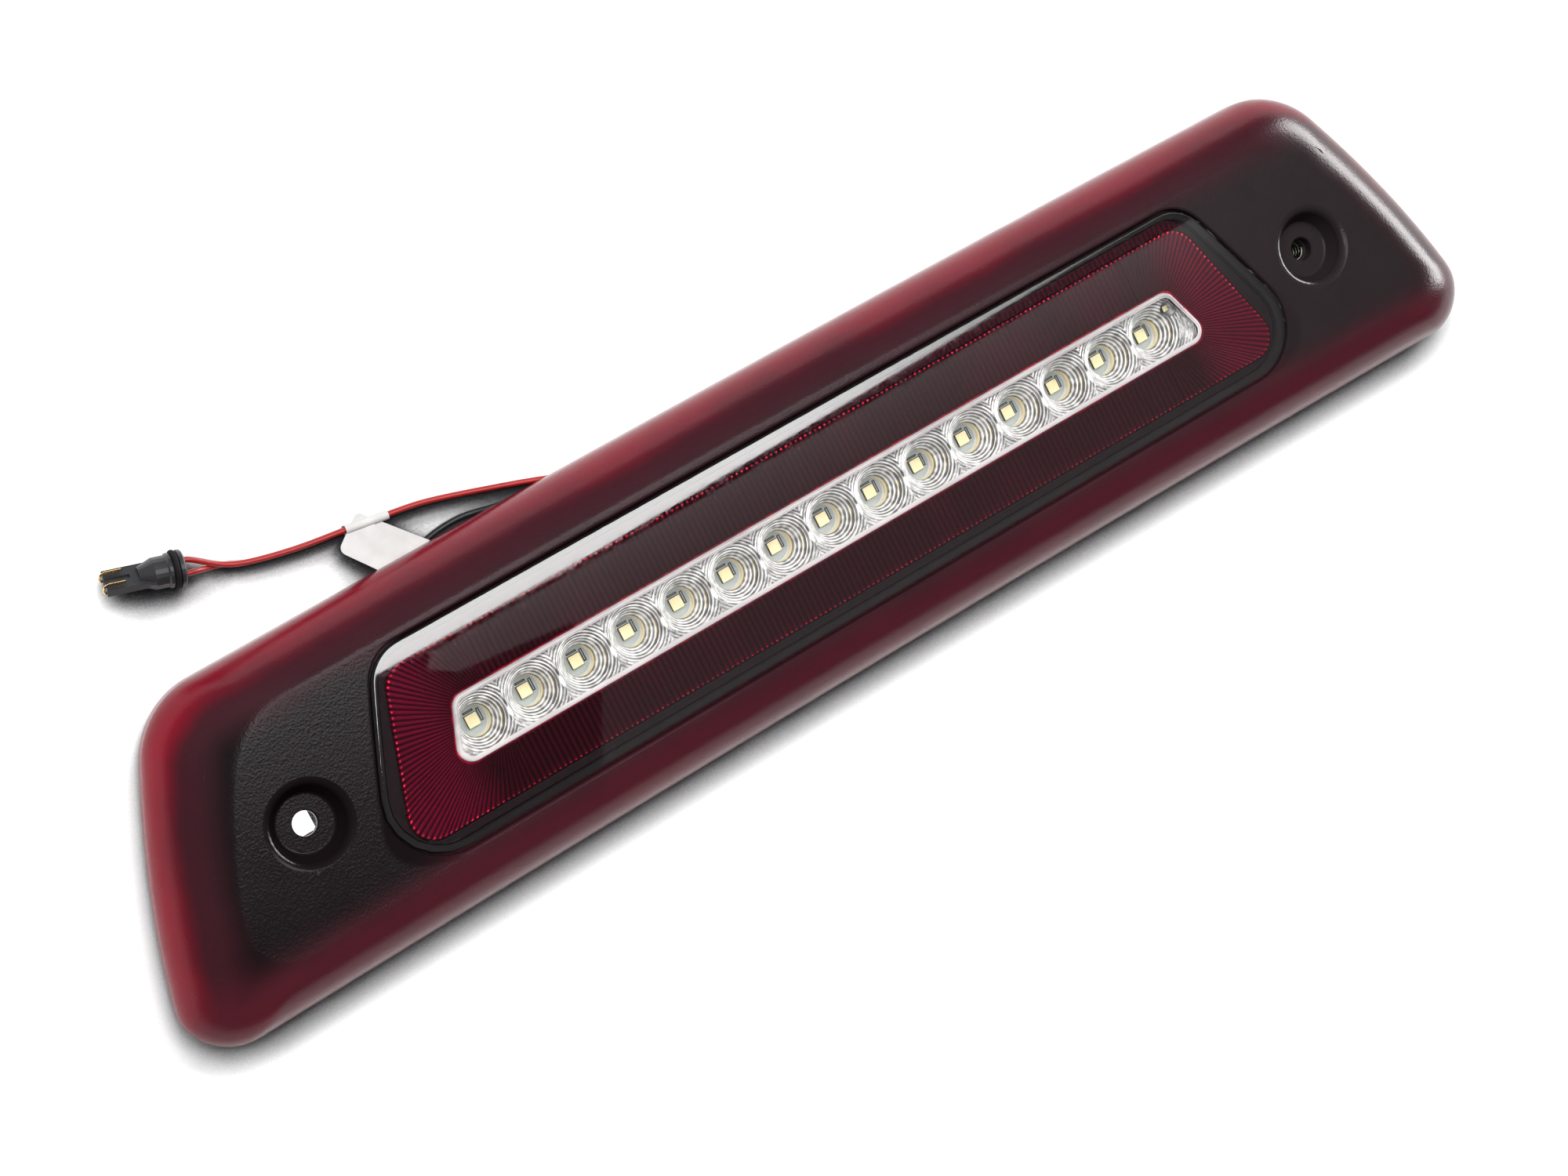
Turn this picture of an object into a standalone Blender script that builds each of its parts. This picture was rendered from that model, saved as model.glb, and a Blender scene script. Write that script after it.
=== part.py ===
"""Third brake light with a white cargo strip, lying on its back.

Frame: metres, +Z out of the window, +X along the lamp, origin on the flat back of
the rear housing, under the middle of the window. Every length below is in
millimetres and is turned into metres when a mesh is made.
"""

import math

import bpy
from mathutils import Matrix, Vector

MM = 0.001
GAP = 0.3

# Heights above the flat back of the rear housing.
Z_WINDOW = 28.0
Z_COVER = 27.8
Z_WIDEST = 9.5
Z_RIM = 4.7
Z_FLANGE = 7.0
Z_BOARD = 12.4

# Outer cover.
COVER_WALL = 2.4
ROLL_STEPS = 8
ROLL_POWER = 1.15
WINDOW_GAP = 0.35
LEDGE_WIDTH = 2.4
LEDGE_TOP = 25.0
LEDGE_BOTTOM = 23.0

# Screw recesses, one at each end of the lamp.
RECESS_X = 171.1
RECESS_Y = -2.0
RECESS_FLOOR = 21.9
RECESS_FLOOR_R = 8.5
RECESS_MOUTH_R = 10.0
RECESS_LIP_R = 12.0
SCREW_HOLE_R = 3.4
BOSS_R = 6.6

# Threaded insert under the right-hand recess.
INSERT_R = 4.7
INSERT_BORE_R = 3.1
INSERT_LOW = 9.2
INSERT_TOP = 18.5

# Screws: (x, y) of each axis and the sizes of their posts and holes.
HOUSING_SCREWS = ((-186.0, 20.0), (186.0, 20.0), (-195.0, -25.0), (195.0, -25.0))
HOUSING_POST_R = 3.4
HOUSING_HOLE_R = 1.9
BOARD_SCREWS = ((-126.0, 13.5), (126.0, 13.5), (-134.0, -14.5), (134.0, -14.5))
BOARD_POST_R = 3.2
BOARD_HOLE_R = 1.6

# Window, lenses, bezel and board.
WINDOW_THICK = 2.0
WINDOW_EDGE = 1.0
BEZEL_LOW = 22.8
BEZEL_TOP = 24.5
FLUTE_LOW = 21.0
FLUTE_LEDGE = 22.5
FLUTE_TOP = 25.0
FLUTE_FLANGE = 1.2
STRIP_LOW = 23.5
STRIP_TOP = 25.5
BOARD_THICK = 1.6

# Rear housing.
HOUSING_FLOOR = 2.2
FLANGE_THICK = 2.4
POCKET_TOP = 20.7
GASKET_OUTER = 13.5
GASKET_INNER = 5.5

# White LEDs, their reflector cups and the red LEDs beside them.
LED_COUNT = 15
LED_PITCH = 16.5
LED_ROW_X = -1.9
LED_ROW_Y = -1.5
LED_SIZE = 3.5
LED_TALL = 0.9
REFLECTOR_TOP = 23.2
CUP_TOP_R = 7.6
CUP_TOP_Z = 23.0
CUP_RING_R = 4.4
CUP_RING_Z = 18.0
CORNER_LED_X = 121.5
CORNER_LED_Y = 2.8
CORNER_LED_SIZE = 1.8
CORNER_LED_TALL = 6.6
RED_LED_SIZE = 3.0
RED_LED_TALL = 1.2
RED_LED_Y = 15.8
RED_LED_XS = (-105.0, -35.0, 35.0, 105.0)

# Leads, label and plug.
LEAD_PATH = ((-40.0, 26.5), (-44.0, 33.5), (-53.0, 40.0), (-65.2, 44.9), (-79.0, 49.4), (-96.9, 54.6),
             (-108.6, 56.6), (-120.9, 58.3), (-134.4, 60.1), (-146.9, 62.8), (-154.1, 65.6))
BLACK_LOOP = ((-50.0, 35.0), (-65.0, 40.5), (-81.5, 44.7), (-92.5, 46.5),
              (-104.2, 44.9), (-116.0, 39.0), (-125.0, 35.0))
BLACK_OFFSET = 2.0
WIRE_R = 0.8
WIRE_LOW_Z = 1.35
WIRE_HIGH_Z = 3.25
PIVOT_X = -40.0
PIVOT_Y = 26.5
PLUG_PIVOT = (-163.6, 69.8)
PLUG_TURN = 164.0
PLUG_ROLL = 40.0
PLUG_LONG = 20.8
PLUG_R = 5.0
PLUG_SPREAD = 1.7
PLUG_REAR = 0.6
CONTACT_R = 0.35
LABEL_LONG = 12.4
LABEL_CENTRE = (-114.75, 57.45)
LABEL_TURN = -7.9
FLAG_LONG = 24.0
FLAG_WIDE = 10.8
FLAG_CENTRE = (-113.8, 47.9)
FLAG_TURN = -52.6

CIRCLE = 24


class Outline:
    """Rounded trapezoid, symmetric about x = 0, with gently bulged ends."""

    def __init__(self, top, bottom, reach, lean, top_r, bottom_r, bulge=0.0, bow=0.0):
        self.top = top
        self.bottom = bottom
        self.reach = reach
        self.lean = lean
        self.top_r = top_r
        self.bottom_r = bottom_r
        self.bulge = bulge
        self.bow = bow

    def inset(self, d):
        """The same shape moved inwards by d, or outwards where d is negative."""
        reach = self.reach - d * math.hypot(1.0, self.lean)
        top_r = max(self.top_r - d, 0.6)
        bottom_r = max(self.bottom_r - d, 0.6)
        return Outline(self.top - d, self.bottom + d, reach, self.lean,
                       top_r, bottom_r, self.bulge, self.bow)

    def corner(self, y, radius, is_top, steps):
        """Fillet on the right-hand side, from the end's slope to the long edge."""
        slope = math.atan(self.lean)
        x = self.reach - self.lean * y
        turn = math.pi / 2 - slope if is_top else math.pi / 2 + slope
        back = radius * math.tan(turn / 2)
        cx = x - back
        cy = y - radius if is_top else y + radius
        if is_top:
            first, last = slope, math.pi / 2
        else:
            first, last = -math.pi / 2, slope
        angles = [first + (last - first) * i / steps for i in range(steps + 1)]
        return [(cx + radius * math.cos(a), cy + radius * math.sin(a)) for a in angles]

    def points(self, corner_steps=6, end_steps=4, edge_steps=6):
        """Points anticlockwise from the middle of the bottom edge."""
        low = self.corner(self.bottom, self.bottom_r, False, corner_steps)
        high = self.corner(self.top, self.top_r, True, corner_steps)
        half = []
        for i in range(edge_steps):
            half.append((low[0][0] * i / edge_steps, self.bottom))
        half += low
        for i in range(1, end_steps):
            t = i / end_steps
            x = low[-1][0] + (high[0][0] - low[-1][0]) * t
            y = low[-1][1] + (high[0][1] - low[-1][1]) * t
            half.append((x, y))
        half += high
        for i in range(1, edge_steps + 1):
            half.append((high[-1][0] * (1 - i / edge_steps), self.top))
        whole = half + [(-x, y) for x, y in reversed(half[1:-1])]
        return [self.bend(x, y) for x, y in whole]

    def bend(self, x, y):
        """Bulge the ends outwards and bow both long edges towards +Y."""
        middle = (self.top + self.bottom) / 2
        height = (self.top - self.bottom) / 2
        along = x / self.reach
        across = min(abs((y - middle) / height), 1.0)
        return (x + self.bulge * along * (1 - across ** 2), y + self.bow * (1 - along ** 2))


RIM = Outline(44.1, -46.7, 207.6, 0.36, 20.0, 12.4, 4.5, 1.4)
CREST = Outline(29.8, -31.6, 186.6, 0.45, 22.0, 9.0, 4.5, 1.4)
WINDOW = Outline(28.7, -28.5, 148.6, 0.411, 12.0, 16.0, 0.8)
FLUTES = Outline(23.0, -23.4, 142.7, 0.336, 8.0, 7.0)
STRIP = Outline(7.7, -9.8, 125.1, 0.4, 4.0, 4.0)
BACK_BOX = Outline(21.0, -21.0, 128.0, 0.3, 6.0, 6.0)


def clear_scene():
    for item in list(bpy.data.objects):
        bpy.data.objects.remove(item, do_unlink=True)


def material(name, colour, roughness, metallic=0.0):
    made = bpy.data.materials.new(name)
    made.use_nodes = True
    shader = made.node_tree.nodes["Principled BSDF"]
    shader.inputs["Base Color"].default_value = (*colour, 1.0)
    shader.inputs["Roughness"].default_value = roughness
    shader.inputs["Metallic"].default_value = metallic
    made.diffuse_color = (*colour, 1.0)
    return made


def add_mesh(name, verts, faces, surface, smooth=True):
    """An object from millimetre points."""
    mesh = bpy.data.meshes.new(name)
    mesh.from_pydata([Vector(v) * MM for v in verts], [], faces)
    mesh.validate()
    mesh.update()
    item = bpy.data.objects.new(name, mesh)
    item.data.materials.append(surface)
    bpy.context.scene.collection.objects.link(item)
    if smooth:
        mesh.shade_smooth()
        mesh.set_sharp_from_angle(angle=math.radians(35))
    return item


def loft(name, rings, surface, closed=False, smooth=True):
    """Skin over rings of equal length, capped at both ends or closed on itself.

    Rings that run anticlockwise seen from +Z go from the bottom to the top.
    """
    count = len(rings[0])
    verts = [p for ring in rings for p in ring]
    faces = []
    spans = len(rings) if closed else len(rings) - 1
    for r in range(spans):
        a = r * count
        b = ((r + 1) % len(rings)) * count
        for i in range(count):
            j = (i + 1) % count
            faces.append((a + i, a + j, b + j, b + i))
    if not closed:
        faces.append(tuple(reversed(range(count))))
        faces.append(tuple(range((len(rings) - 1) * count, len(rings) * count)))
    return add_mesh(name, verts, faces, surface, smooth)


def at_height(outline, z, **steps):
    return [(x, y, z) for x, y in outline.points(**steps)]


def plate(name, outline, low, high, surface, edge=0.0, **steps):
    """Flat plate with an optional rounded upper edge."""
    rings = [at_height(outline, low, **steps)]
    if edge:
        for angle in (0, 30, 60, 90):
            turn = math.radians(angle)
            inset = edge * (1 - math.cos(turn))
            rings.append(at_height(outline.inset(inset), high - edge * (1 - math.sin(turn)), **steps))
    else:
        rings.append(at_height(outline, high, **steps))
    return loft(name, rings, surface)


def ring_plate(name, outer, inner, low, high, surface, **steps):
    """Flat ring between two outlines."""
    rings = [at_height(outer, low, **steps), at_height(outer, high, **steps),
             at_height(inner, high, **steps), at_height(inner, low, **steps)]
    return loft(name, rings, surface, closed=True)


def circle(radius, z, x=0.0, y=0.0, count=CIRCLE):
    points = []
    for i in range(count):
        turn = 2 * math.pi * i / count
        points.append((x + radius * math.cos(turn), y + radius * math.sin(turn), z))
    return points


def turned(name, profile, x, y, surface, count=CIRCLE, closed=False):
    """Turned piece on an upright axis; profile is (radius, height) from bottom to top."""
    rings = [circle(r, z, x, y, count) for r, z in profile]
    return loft(name, rings, surface, closed)


def tube(name, profile_low, profile_high, outer, inner, x, y, surface, count=CIRCLE):
    profile = [(outer, profile_low), (outer, profile_high), (inner, profile_high), (inner, profile_low)]
    return turned(name, profile, x, y, surface, count, closed=True)


def box(name, low, high, surface):
    (x0, y0, z0), (x1, y1, z1) = low, high
    rings = [[(x0, y0, z), (x1, y0, z), (x1, y1, z), (x0, y1, z)] for z in (z0, z1)]
    return loft(name, rings, surface, smooth=False)


def combine(target, tool, operation):
    """Join a tool to the target, or cut it away, and drop the tool."""
    modifier = target.modifiers.new(operation.lower(), "BOOLEAN")
    modifier.operation = operation
    modifier.solver = "EXACT"
    modifier.object = tool
    bpy.context.view_layer.update()
    graph = bpy.context.evaluated_depsgraph_get()
    mesh = bpy.data.meshes.new_from_object(target.evaluated_get(graph))
    target.modifiers.clear()
    old = target.data
    target.data = mesh
    bpy.data.meshes.remove(old)
    bpy.data.objects.remove(tool, do_unlink=True)
    mesh.shade_smooth()
    mesh.set_sharp_from_angle(angle=math.radians(35))
    return target


def curve_points(stops, steps):
    """Smooth path through the stops (Catmull-Rom)."""
    ends = [stops[0]] + list(stops) + [stops[-1]]
    path = []
    for i in range(1, len(ends) - 2):
        a, b, c, d = (Vector(ends[i + k]) for k in (-1, 0, 1, 2))
        for s in range(steps):
            t = s / steps
            path.append(0.5 * (2 * b + (c - a) * t + (2 * a - 5 * b + 4 * c - d) * t ** 2
                               + (3 * b - a - 3 * c + d) * t ** 3))
    path.append(Vector(stops[-1]))
    return path


def wire(name, stops, radius, surface, steps=4, count=8):
    """Round wire along a smooth path."""
    path = curve_points(stops, steps)
    rings = []
    for i, point in enumerate(path):
        ahead = path[min(i + 1, len(path) - 1)] - path[max(i - 1, 0)]
        ahead.normalize()
        side = ahead.cross(Vector((0, 0, 1))).normalized()
        up = ahead.cross(side)
        ring = []
        for k in range(count):
            turn = 2 * math.pi * k / count
            ring.append(tuple(point + radius * (math.cos(turn) * side + math.sin(turn) * up)))
        rings.append(ring)
    return loft(name, rings, surface)


def blend_ring(first, second, t, z):
    points = []
    for (ax, ay), (bx, by) in zip(first.points(), second.points()):
        points.append((ax + (bx - ax) * t, ay + (by - ay) * t, z))
    return points


def roll_off(wall, top_share):
    """Rings down the rounded side of the cover, from the crest to its widest level."""
    rim = RIM.inset(wall)
    high = Z_COVER - wall
    rings = []
    for i in range(ROLL_STEPS + 1):
        turn = math.pi / 2 * i / ROLL_STEPS
        across = math.sin(turn) ** ROLL_POWER
        if across < top_share:
            continue
        down = max(math.cos(turn), 0.0) ** ROLL_POWER
        rings.append(blend_ring(CREST, rim, across, Z_WIDEST + (high - Z_WIDEST) * down))
    return rings


def outer_cover(surface):
    opening = WINDOW.inset(-WINDOW_GAP)
    web = WINDOW.inset(-3.0)
    ledge = WINDOW.inset(LEDGE_WIDTH)
    rings = [at_height(ledge, LEDGE_BOTTOM), at_height(web, LEDGE_BOTTOM),
             at_height(web, Z_COVER - COVER_WALL)]
    rings += roll_off(COVER_WALL, 0.3)
    rings.append(at_height(RIM.inset(COVER_WALL), Z_RIM))
    rings.append(at_height(RIM, Z_RIM))
    rings += reversed(roll_off(0.0, 0.0))
    rings.append(blend_ring(CREST, opening, 0.6, Z_COVER))
    rings.append(at_height(opening.inset(-0.5), Z_COVER))
    rings.append(at_height(opening, Z_COVER - 0.5))
    rings.append(at_height(opening, LEDGE_TOP))
    rings.append(at_height(ledge, LEDGE_TOP))
    cover = loft("outer_cover", rings, surface, closed=True)
    floor_low = RECESS_FLOOR - COVER_WALL
    for side in (-1, 1):
        x = side * RECESS_X
        cup = [(RECESS_FLOOR_R + 2.0, floor_low), (RECESS_MOUTH_R + 2.2, Z_COVER - 1.0)]
        combine(cover, turned("cup", cup, x, RECESS_Y, surface), "UNION")
    boss = [(BOSS_R, Z_FLANGE + 2.9), (BOSS_R, floor_low + 1.0)]
    combine(cover, turned("boss", boss, RECESS_X, RECESS_Y, surface), "UNION")
    for x, y in HOUSING_SCREWS:
        post = [(HOUSING_POST_R, Z_FLANGE + 2.7), (HOUSING_POST_R, Z_COVER - 2.0)]
        combine(cover, turned("post", post, x, y, surface, 16), "UNION")
    for side in (-1, 1):
        x = side * RECESS_X
        hollow = [(RECESS_FLOOR_R, RECESS_FLOOR), (RECESS_MOUTH_R - 0.4, Z_COVER - 1.7),
                  (RECESS_MOUTH_R + 0.4, Z_COVER - 0.6), (RECESS_LIP_R, Z_COVER + 0.2),
                  (RECESS_LIP_R, Z_COVER + 2.0)]
        combine(cover, turned("hollow", hollow, x, RECESS_Y, surface, 32), "DIFFERENCE")
        hole = [(SCREW_HOLE_R, Z_FLANGE), (SCREW_HOLE_R, RECESS_FLOOR + 1.0)]
        combine(cover, turned("hole", hole, x, RECESS_Y, surface), "DIFFERENCE")
    seat = [(INSERT_R + GAP, Z_FLANGE), (INSERT_R + GAP, INSERT_TOP + GAP)]
    combine(cover, turned("seat", seat, RECESS_X, RECESS_Y, surface), "DIFFERENCE")
    for x, y in HOUSING_SCREWS:
        pilot = [(HOUSING_HOLE_R, Z_FLANGE), (HOUSING_HOLE_R, Z_FLANGE + 11.5)]
        combine(cover, turned("pilot", pilot, x, y, surface, 12), "DIFFERENCE")
    return cover


def window_pieces(glass, rubber, black):
    low = Z_WINDOW - WINDOW_THICK
    plate("window_lens", WINDOW, low, Z_WINDOW, glass, edge=WINDOW_EDGE)
    ring_plate("window_seal", WINDOW.inset(0.5), WINDOW.inset(2.1), LEDGE_TOP + GAP, low - GAP, rubber)
    outer = WINDOW.inset(LEDGE_WIDTH + GAP)
    ring_plate("inner_bezel", outer, FLUTES.inset(-GAP), BEZEL_LOW, BEZEL_TOP, black)


def flute_lens(surface):
    """Plate with a lower flange under the bezel and a slot for the clear strip."""
    flange = FLUTES.inset(-FLUTE_FLANGE)
    slot = STRIP.inset(-GAP)
    rings = [at_height(flange, FLUTE_LOW), at_height(flange, FLUTE_LEDGE),
             at_height(FLUTES, FLUTE_LEDGE), at_height(FLUTES, FLUTE_TOP),
             at_height(slot, FLUTE_TOP), at_height(slot, FLUTE_LOW)]
    return loft("flute_lens", rings, surface, closed=True)


def led_x(index):
    return LED_ROW_X + LED_PITCH * (index - (LED_COUNT - 1) / 2)


def reflector(surface):
    """Bar with one stepped round cup for each white LED and a small corner cup."""
    bar = plate("reflector", STRIP, Z_BOARD + BOARD_THICK + GAP, REFLECTOR_TOP, surface)
    for i in range(LED_COUNT):
        cup = [(CUP_RING_R, Z_BOARD), (CUP_RING_R, CUP_RING_Z), (CUP_TOP_R, CUP_TOP_Z),
               (CUP_TOP_R, CUP_TOP_Z + 1.5)]
        combine(bar, turned("cup", cup, led_x(i), LED_ROW_Y, surface, 20), "DIFFERENCE")
    cup = [(1.7, Z_BOARD), (1.7, 20.0), (2.1, 24.5)]
    combine(bar, turned("cup", cup, CORNER_LED_X, CORNER_LED_Y, surface, 12), "DIFFERENCE")
    return bar


def led(name, x, y, size, height, surface):
    """Square LED package with a slightly smaller top."""
    low = Z_BOARD + BOARD_THICK + GAP
    rings = []
    for half, z in ((size / 2, low), (size / 2, low + height * 0.6), (size / 2 - 0.15, low + height)):
        rings.append([(x - half, y - half, z), (x + half, y - half, z),
                      (x + half, y + half, z), (x - half, y + half, z)])
    return loft(name, rings, surface, smooth=False)


def leds(cream, red):
    for i in range(LED_COUNT):
        led("white_led_%02d" % (i + 1), led_x(i), LED_ROW_Y, LED_SIZE, LED_TALL, cream)
    led("white_led_16", CORNER_LED_X, CORNER_LED_Y, CORNER_LED_SIZE, CORNER_LED_TALL, cream)
    places = [(x, y) for y in (RED_LED_Y, -RED_LED_Y - 1.0) for x in RED_LED_XS]
    for i, (x, y) in enumerate(places):
        led("red_led_%d" % (i + 1), x, y, RED_LED_SIZE, RED_LED_TALL, red)


def board(fibreglass, chip, ceramic, steel):
    """Board with its holes, and the parts soldered to its back."""
    face = plate("led_board", FLUTES.inset(1.6), Z_BOARD, Z_BOARD + BOARD_THICK, fibreglass)
    for x, y in BOARD_SCREWS:
        hole = [(BOARD_HOLE_R, Z_BOARD - 1), (BOARD_HOLE_R, Z_BOARD + 3)]
        combine(face, turned("hole", hole, x, y, fibreglass, 12), "DIFFERENCE")
    top = Z_BOARD - GAP
    box("driver_chip", (-4.0, -14.0, top - 1.5), (2.0, -10.0, top), chip)
    box("resistor", (12.0, -13.0, top - 0.6), (15.2, -11.4, top), chip)
    box("capacitor", (22.0, -13.5, top - 1.6), (25.2, -11.0, top), ceramic)
    box("diode", (-16.0, -13.5, top - 1.1), (-11.5, -10.9, top), chip)
    for i, (x, y) in enumerate(BOARD_SCREWS):
        high = Z_BOARD + BOARD_THICK + GAP
        profile = [(1.2, high - 6.0), (1.2, high), (2.6, high), (2.6, high + 1.0), (1.6, high + 1.7)]
        turned("board_screw_%d" % (i + 1), profile, x, y, steel, 16)


def rear_housing(surface):
    """Stepped case: a back box, a wide flange and an upper wall under the window."""
    ledge = LEDGE_BOTTOM - GAP
    flange_top = Z_FLANGE + FLANGE_THICK
    flange = RIM.inset(COVER_WALL + 1.0)
    shelf = FLUTES.inset(-1.6)
    pocket = FLUTES.inset(0.6)
    inner = BACK_BOX.inset(HOUSING_FLOOR)
    rings = [at_height(BACK_BOX, 0.0), at_height(BACK_BOX, Z_FLANGE),
             at_height(flange, Z_FLANGE), at_height(flange, flange_top),
             at_height(WINDOW, flange_top), at_height(WINDOW, ledge),
             at_height(shelf, ledge), at_height(shelf, POCKET_TOP),
             at_height(pocket, POCKET_TOP), at_height(pocket, flange_top),
             at_height(inner, flange_top), at_height(inner, HOUSING_FLOOR)]
    case = loft("rear_housing", rings, surface)
    for x, y in BOARD_SCREWS:
        post = [(BOARD_POST_R, Z_FLANGE + 1.5), (BOARD_POST_R, Z_BOARD - GAP)]
        combine(case, turned("post", post, x, y, surface, 16), "UNION")
    for x, y in BOARD_SCREWS:
        pilot = [(BOARD_HOLE_R, Z_FLANGE + 0.9), (BOARD_HOLE_R, Z_BOARD + 1)]
        combine(case, turned("pilot", pilot, x, y, surface, 12), "DIFFERENCE")
    for x, radius in ((-RECESS_X, 9.6), (RECESS_X, 7.2)):
        hole = [(radius, Z_FLANGE - 1), (radius, Z_FLANGE + 4)]
        combine(case, turned("hole", hole, x, RECESS_Y, surface), "DIFFERENCE")
    for x, y in HOUSING_SCREWS:
        hole = [(HOUSING_HOLE_R, Z_FLANGE - 1), (HOUSING_HOLE_R, Z_FLANGE + 4)]
        combine(case, turned("hole", hole, x, y, surface, 12), "DIFFERENCE")
    slot = box("slot", (PIVOT_X - 4.2, 11.0, -1.0), (PIVOT_X + 4.2, 23.0, 5.1), surface)
    combine(case, slot, "DIFFERENCE")
    return case


def fixings(surface, brass):
    for i, (x, y) in enumerate(HOUSING_SCREWS):
        low = Z_FLANGE - GAP
        profile = [(1.9, low - 1.9), (3.2, low - 1.1), (3.2, low), (1.5, low), (1.5, low + 11.0)]
        turned("housing_screw_%d" % (i + 1), profile, x, y, surface, 16)
    tube("screw_insert", INSERT_LOW, INSERT_TOP, INSERT_R, INSERT_BORE_R, RECESS_X, RECESS_Y, brass)


def gasket(surface):
    outer = BACK_BOX.inset(-GASKET_OUTER)
    inner = BACK_BOX.inset(-GASKET_INNER)
    ring_plate("gasket", outer, inner, Z_RIM, Z_FLANGE - GAP, surface)


def grommet(surface):
    """Block in the slot of the back box, with an outer lip and one wide hole."""
    body = box("lead_grommet", (PIVOT_X - 3.9, 18.0, 0.9), (PIVOT_X + 3.9, 21.5, 4.8), surface)
    lip = box("lip", (PIVOT_X - 5.0, 21.3, 0.4), (PIVOT_X + 5.0, 23.0, 5.6), surface)
    combine(body, lip, "UNION")
    hole = box("hole", (PIVOT_X - 2.9, 16.0, -1.0), (PIVOT_X + 2.9, 25.0, 4.35), surface)
    return combine(body, hole, "DIFFERENCE")


def pivot_empty(name, x, y, turn, parent=None):
    """Empty that stands on a hinge axis."""
    empty = bpy.data.objects.new(name, None)
    bpy.context.scene.collection.objects.link(empty)
    empty.parent = parent
    base = parent.location if parent else Vector((0, 0, 0))
    empty.location = Vector((x, y, 0)) * MM - base
    empty.rotation_euler = (0, 0, math.radians(turn))
    return empty


def hang(item, pivot):
    """Move a piece's origin to its hinge axis and parent it there."""
    item.data.transform(Matrix.Translation(-pivot.location))
    item.parent = pivot
    return item


def leads(red, black, pivot):
    """Two red wires, one on the other, and a black one, with their ends inside the case."""
    out = Vector((math.cos(math.radians(PLUG_TURN)), math.sin(math.radians(PLUG_TURN)), 0.0))
    across = Vector((out.y, -out.x, 0.0))
    entry = Vector((*PLUG_PIVOT, PLUG_R + 0.3)) - out * 1.4
    red_wires = (("lead_red_1", WIRE_HIGH_Z, PLUG_SPREAD), ("lead_red_2", WIRE_LOW_Z, -PLUG_SPREAD))
    for name, z, spread in red_wires:
        stops = [(x, y, z) for x, y in LEAD_PATH]
        stops.append(tuple(entry + across * spread))
        hang(wire(name, stops, WIRE_R, red, steps=3), pivot)
        x = PIVOT_X + 1.2 - spread * 1.1
        inner = [(PIVOT_X, PIVOT_Y - 0.6, z), (PIVOT_X, 18.0, z), (x, 13.5, z + 1.9),
                 (x, 10.0, Z_BOARD - 4.5), (x, 9.0, Z_BOARD - GAP)]
        wire("inner_" + name, inner, WIRE_R, red, steps=3)
    low = WIRE_LOW_Z
    x = PIVOT_X - BLACK_OFFSET
    loop = [(x, PIVOT_Y, low)] + [(px, py, low) for px, py in BLACK_LOOP]
    hang(wire("lead_black", loop, WIRE_R, black, steps=3), pivot)
    inner = [(x, PIVOT_Y - 0.6, low), (x, 18.0, low), (x, 14.0, low + 1.4),
             (x - 3.5, 10.0, Z_BOARD - 4.5), (x - 4.5, 9.0, Z_BOARD - GAP)]
    wire("inner_lead_black", inner, WIRE_R, black, steps=3)


def turn_about(item, x, y, degrees):
    """Turn a piece's mesh about an upright axis through (x, y)."""
    centre = Vector((x, y, 0)) * MM
    spin = Matrix.Rotation(math.radians(degrees), 4, "Z")
    item.data.transform(Matrix.Translation(centre) @ spin @ Matrix.Translation(-centre))
    return item


def wire_label(surface, pivot):
    """Label folded round both red wires, with its loose flag under the cover's edge."""
    x, y = LABEL_CENTRE
    half = LABEL_LONG / 2
    collar = box("wire_label", (x - half, y - 1.6, 0.05), (x + half, y + 1.6, 4.55), surface)
    turn_about(collar, x, y, LABEL_TURN)
    flag_x, flag_y = FLAG_CENTRE
    outline = [(flag_x + px, flag_y + py) for px, py in rounded_box(FLAG_LONG, FLAG_WIDE, 2.0)]
    loose = loft("flag", [[(*point, z) for point in outline] for z in (3.55, 3.95)], surface)
    turn_about(loose, flag_x, flag_y, FLAG_TURN)
    combine(collar, loose, "UNION")
    hole = box("hole", (x - half - 3, y - 1.3, 0.3), (x + half + 3, y + 1.3, 4.3), surface)
    turn_about(hole, x, y, LABEL_TURN)
    combine(collar, hole, "DIFFERENCE")
    return hang(collar, pivot)


def rounded_box(length, width, radius, steps=3):
    """Outline of a rectangle with round corners, centred on the origin."""
    points = []
    for corner in range(4):
        cx = (length / 2 - radius) * (1 if corner in (0, 3) else -1)
        cy = (width / 2 - radius) * (1 if corner in (0, 1) else -1)
        for i in range(steps + 1):
            turn = math.pi / 2 * (corner + i / steps)
            points.append((cx + radius * math.cos(turn), cy + radius * math.sin(turn)))
    return points


def lay_down(item, pivot):
    """Turn a plug piece, built upright, along its parent's X axis."""
    lift = Matrix.Translation(Vector((PLUG_REAR, 0, PLUG_R + GAP)) * MM)
    roll = Matrix.Rotation(math.radians(PLUG_ROLL), 4, "X")
    item.data.transform(lift @ roll @ Matrix.Rotation(math.pi / 2, 4, "Y"))
    item.parent = pivot
    return item


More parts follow.
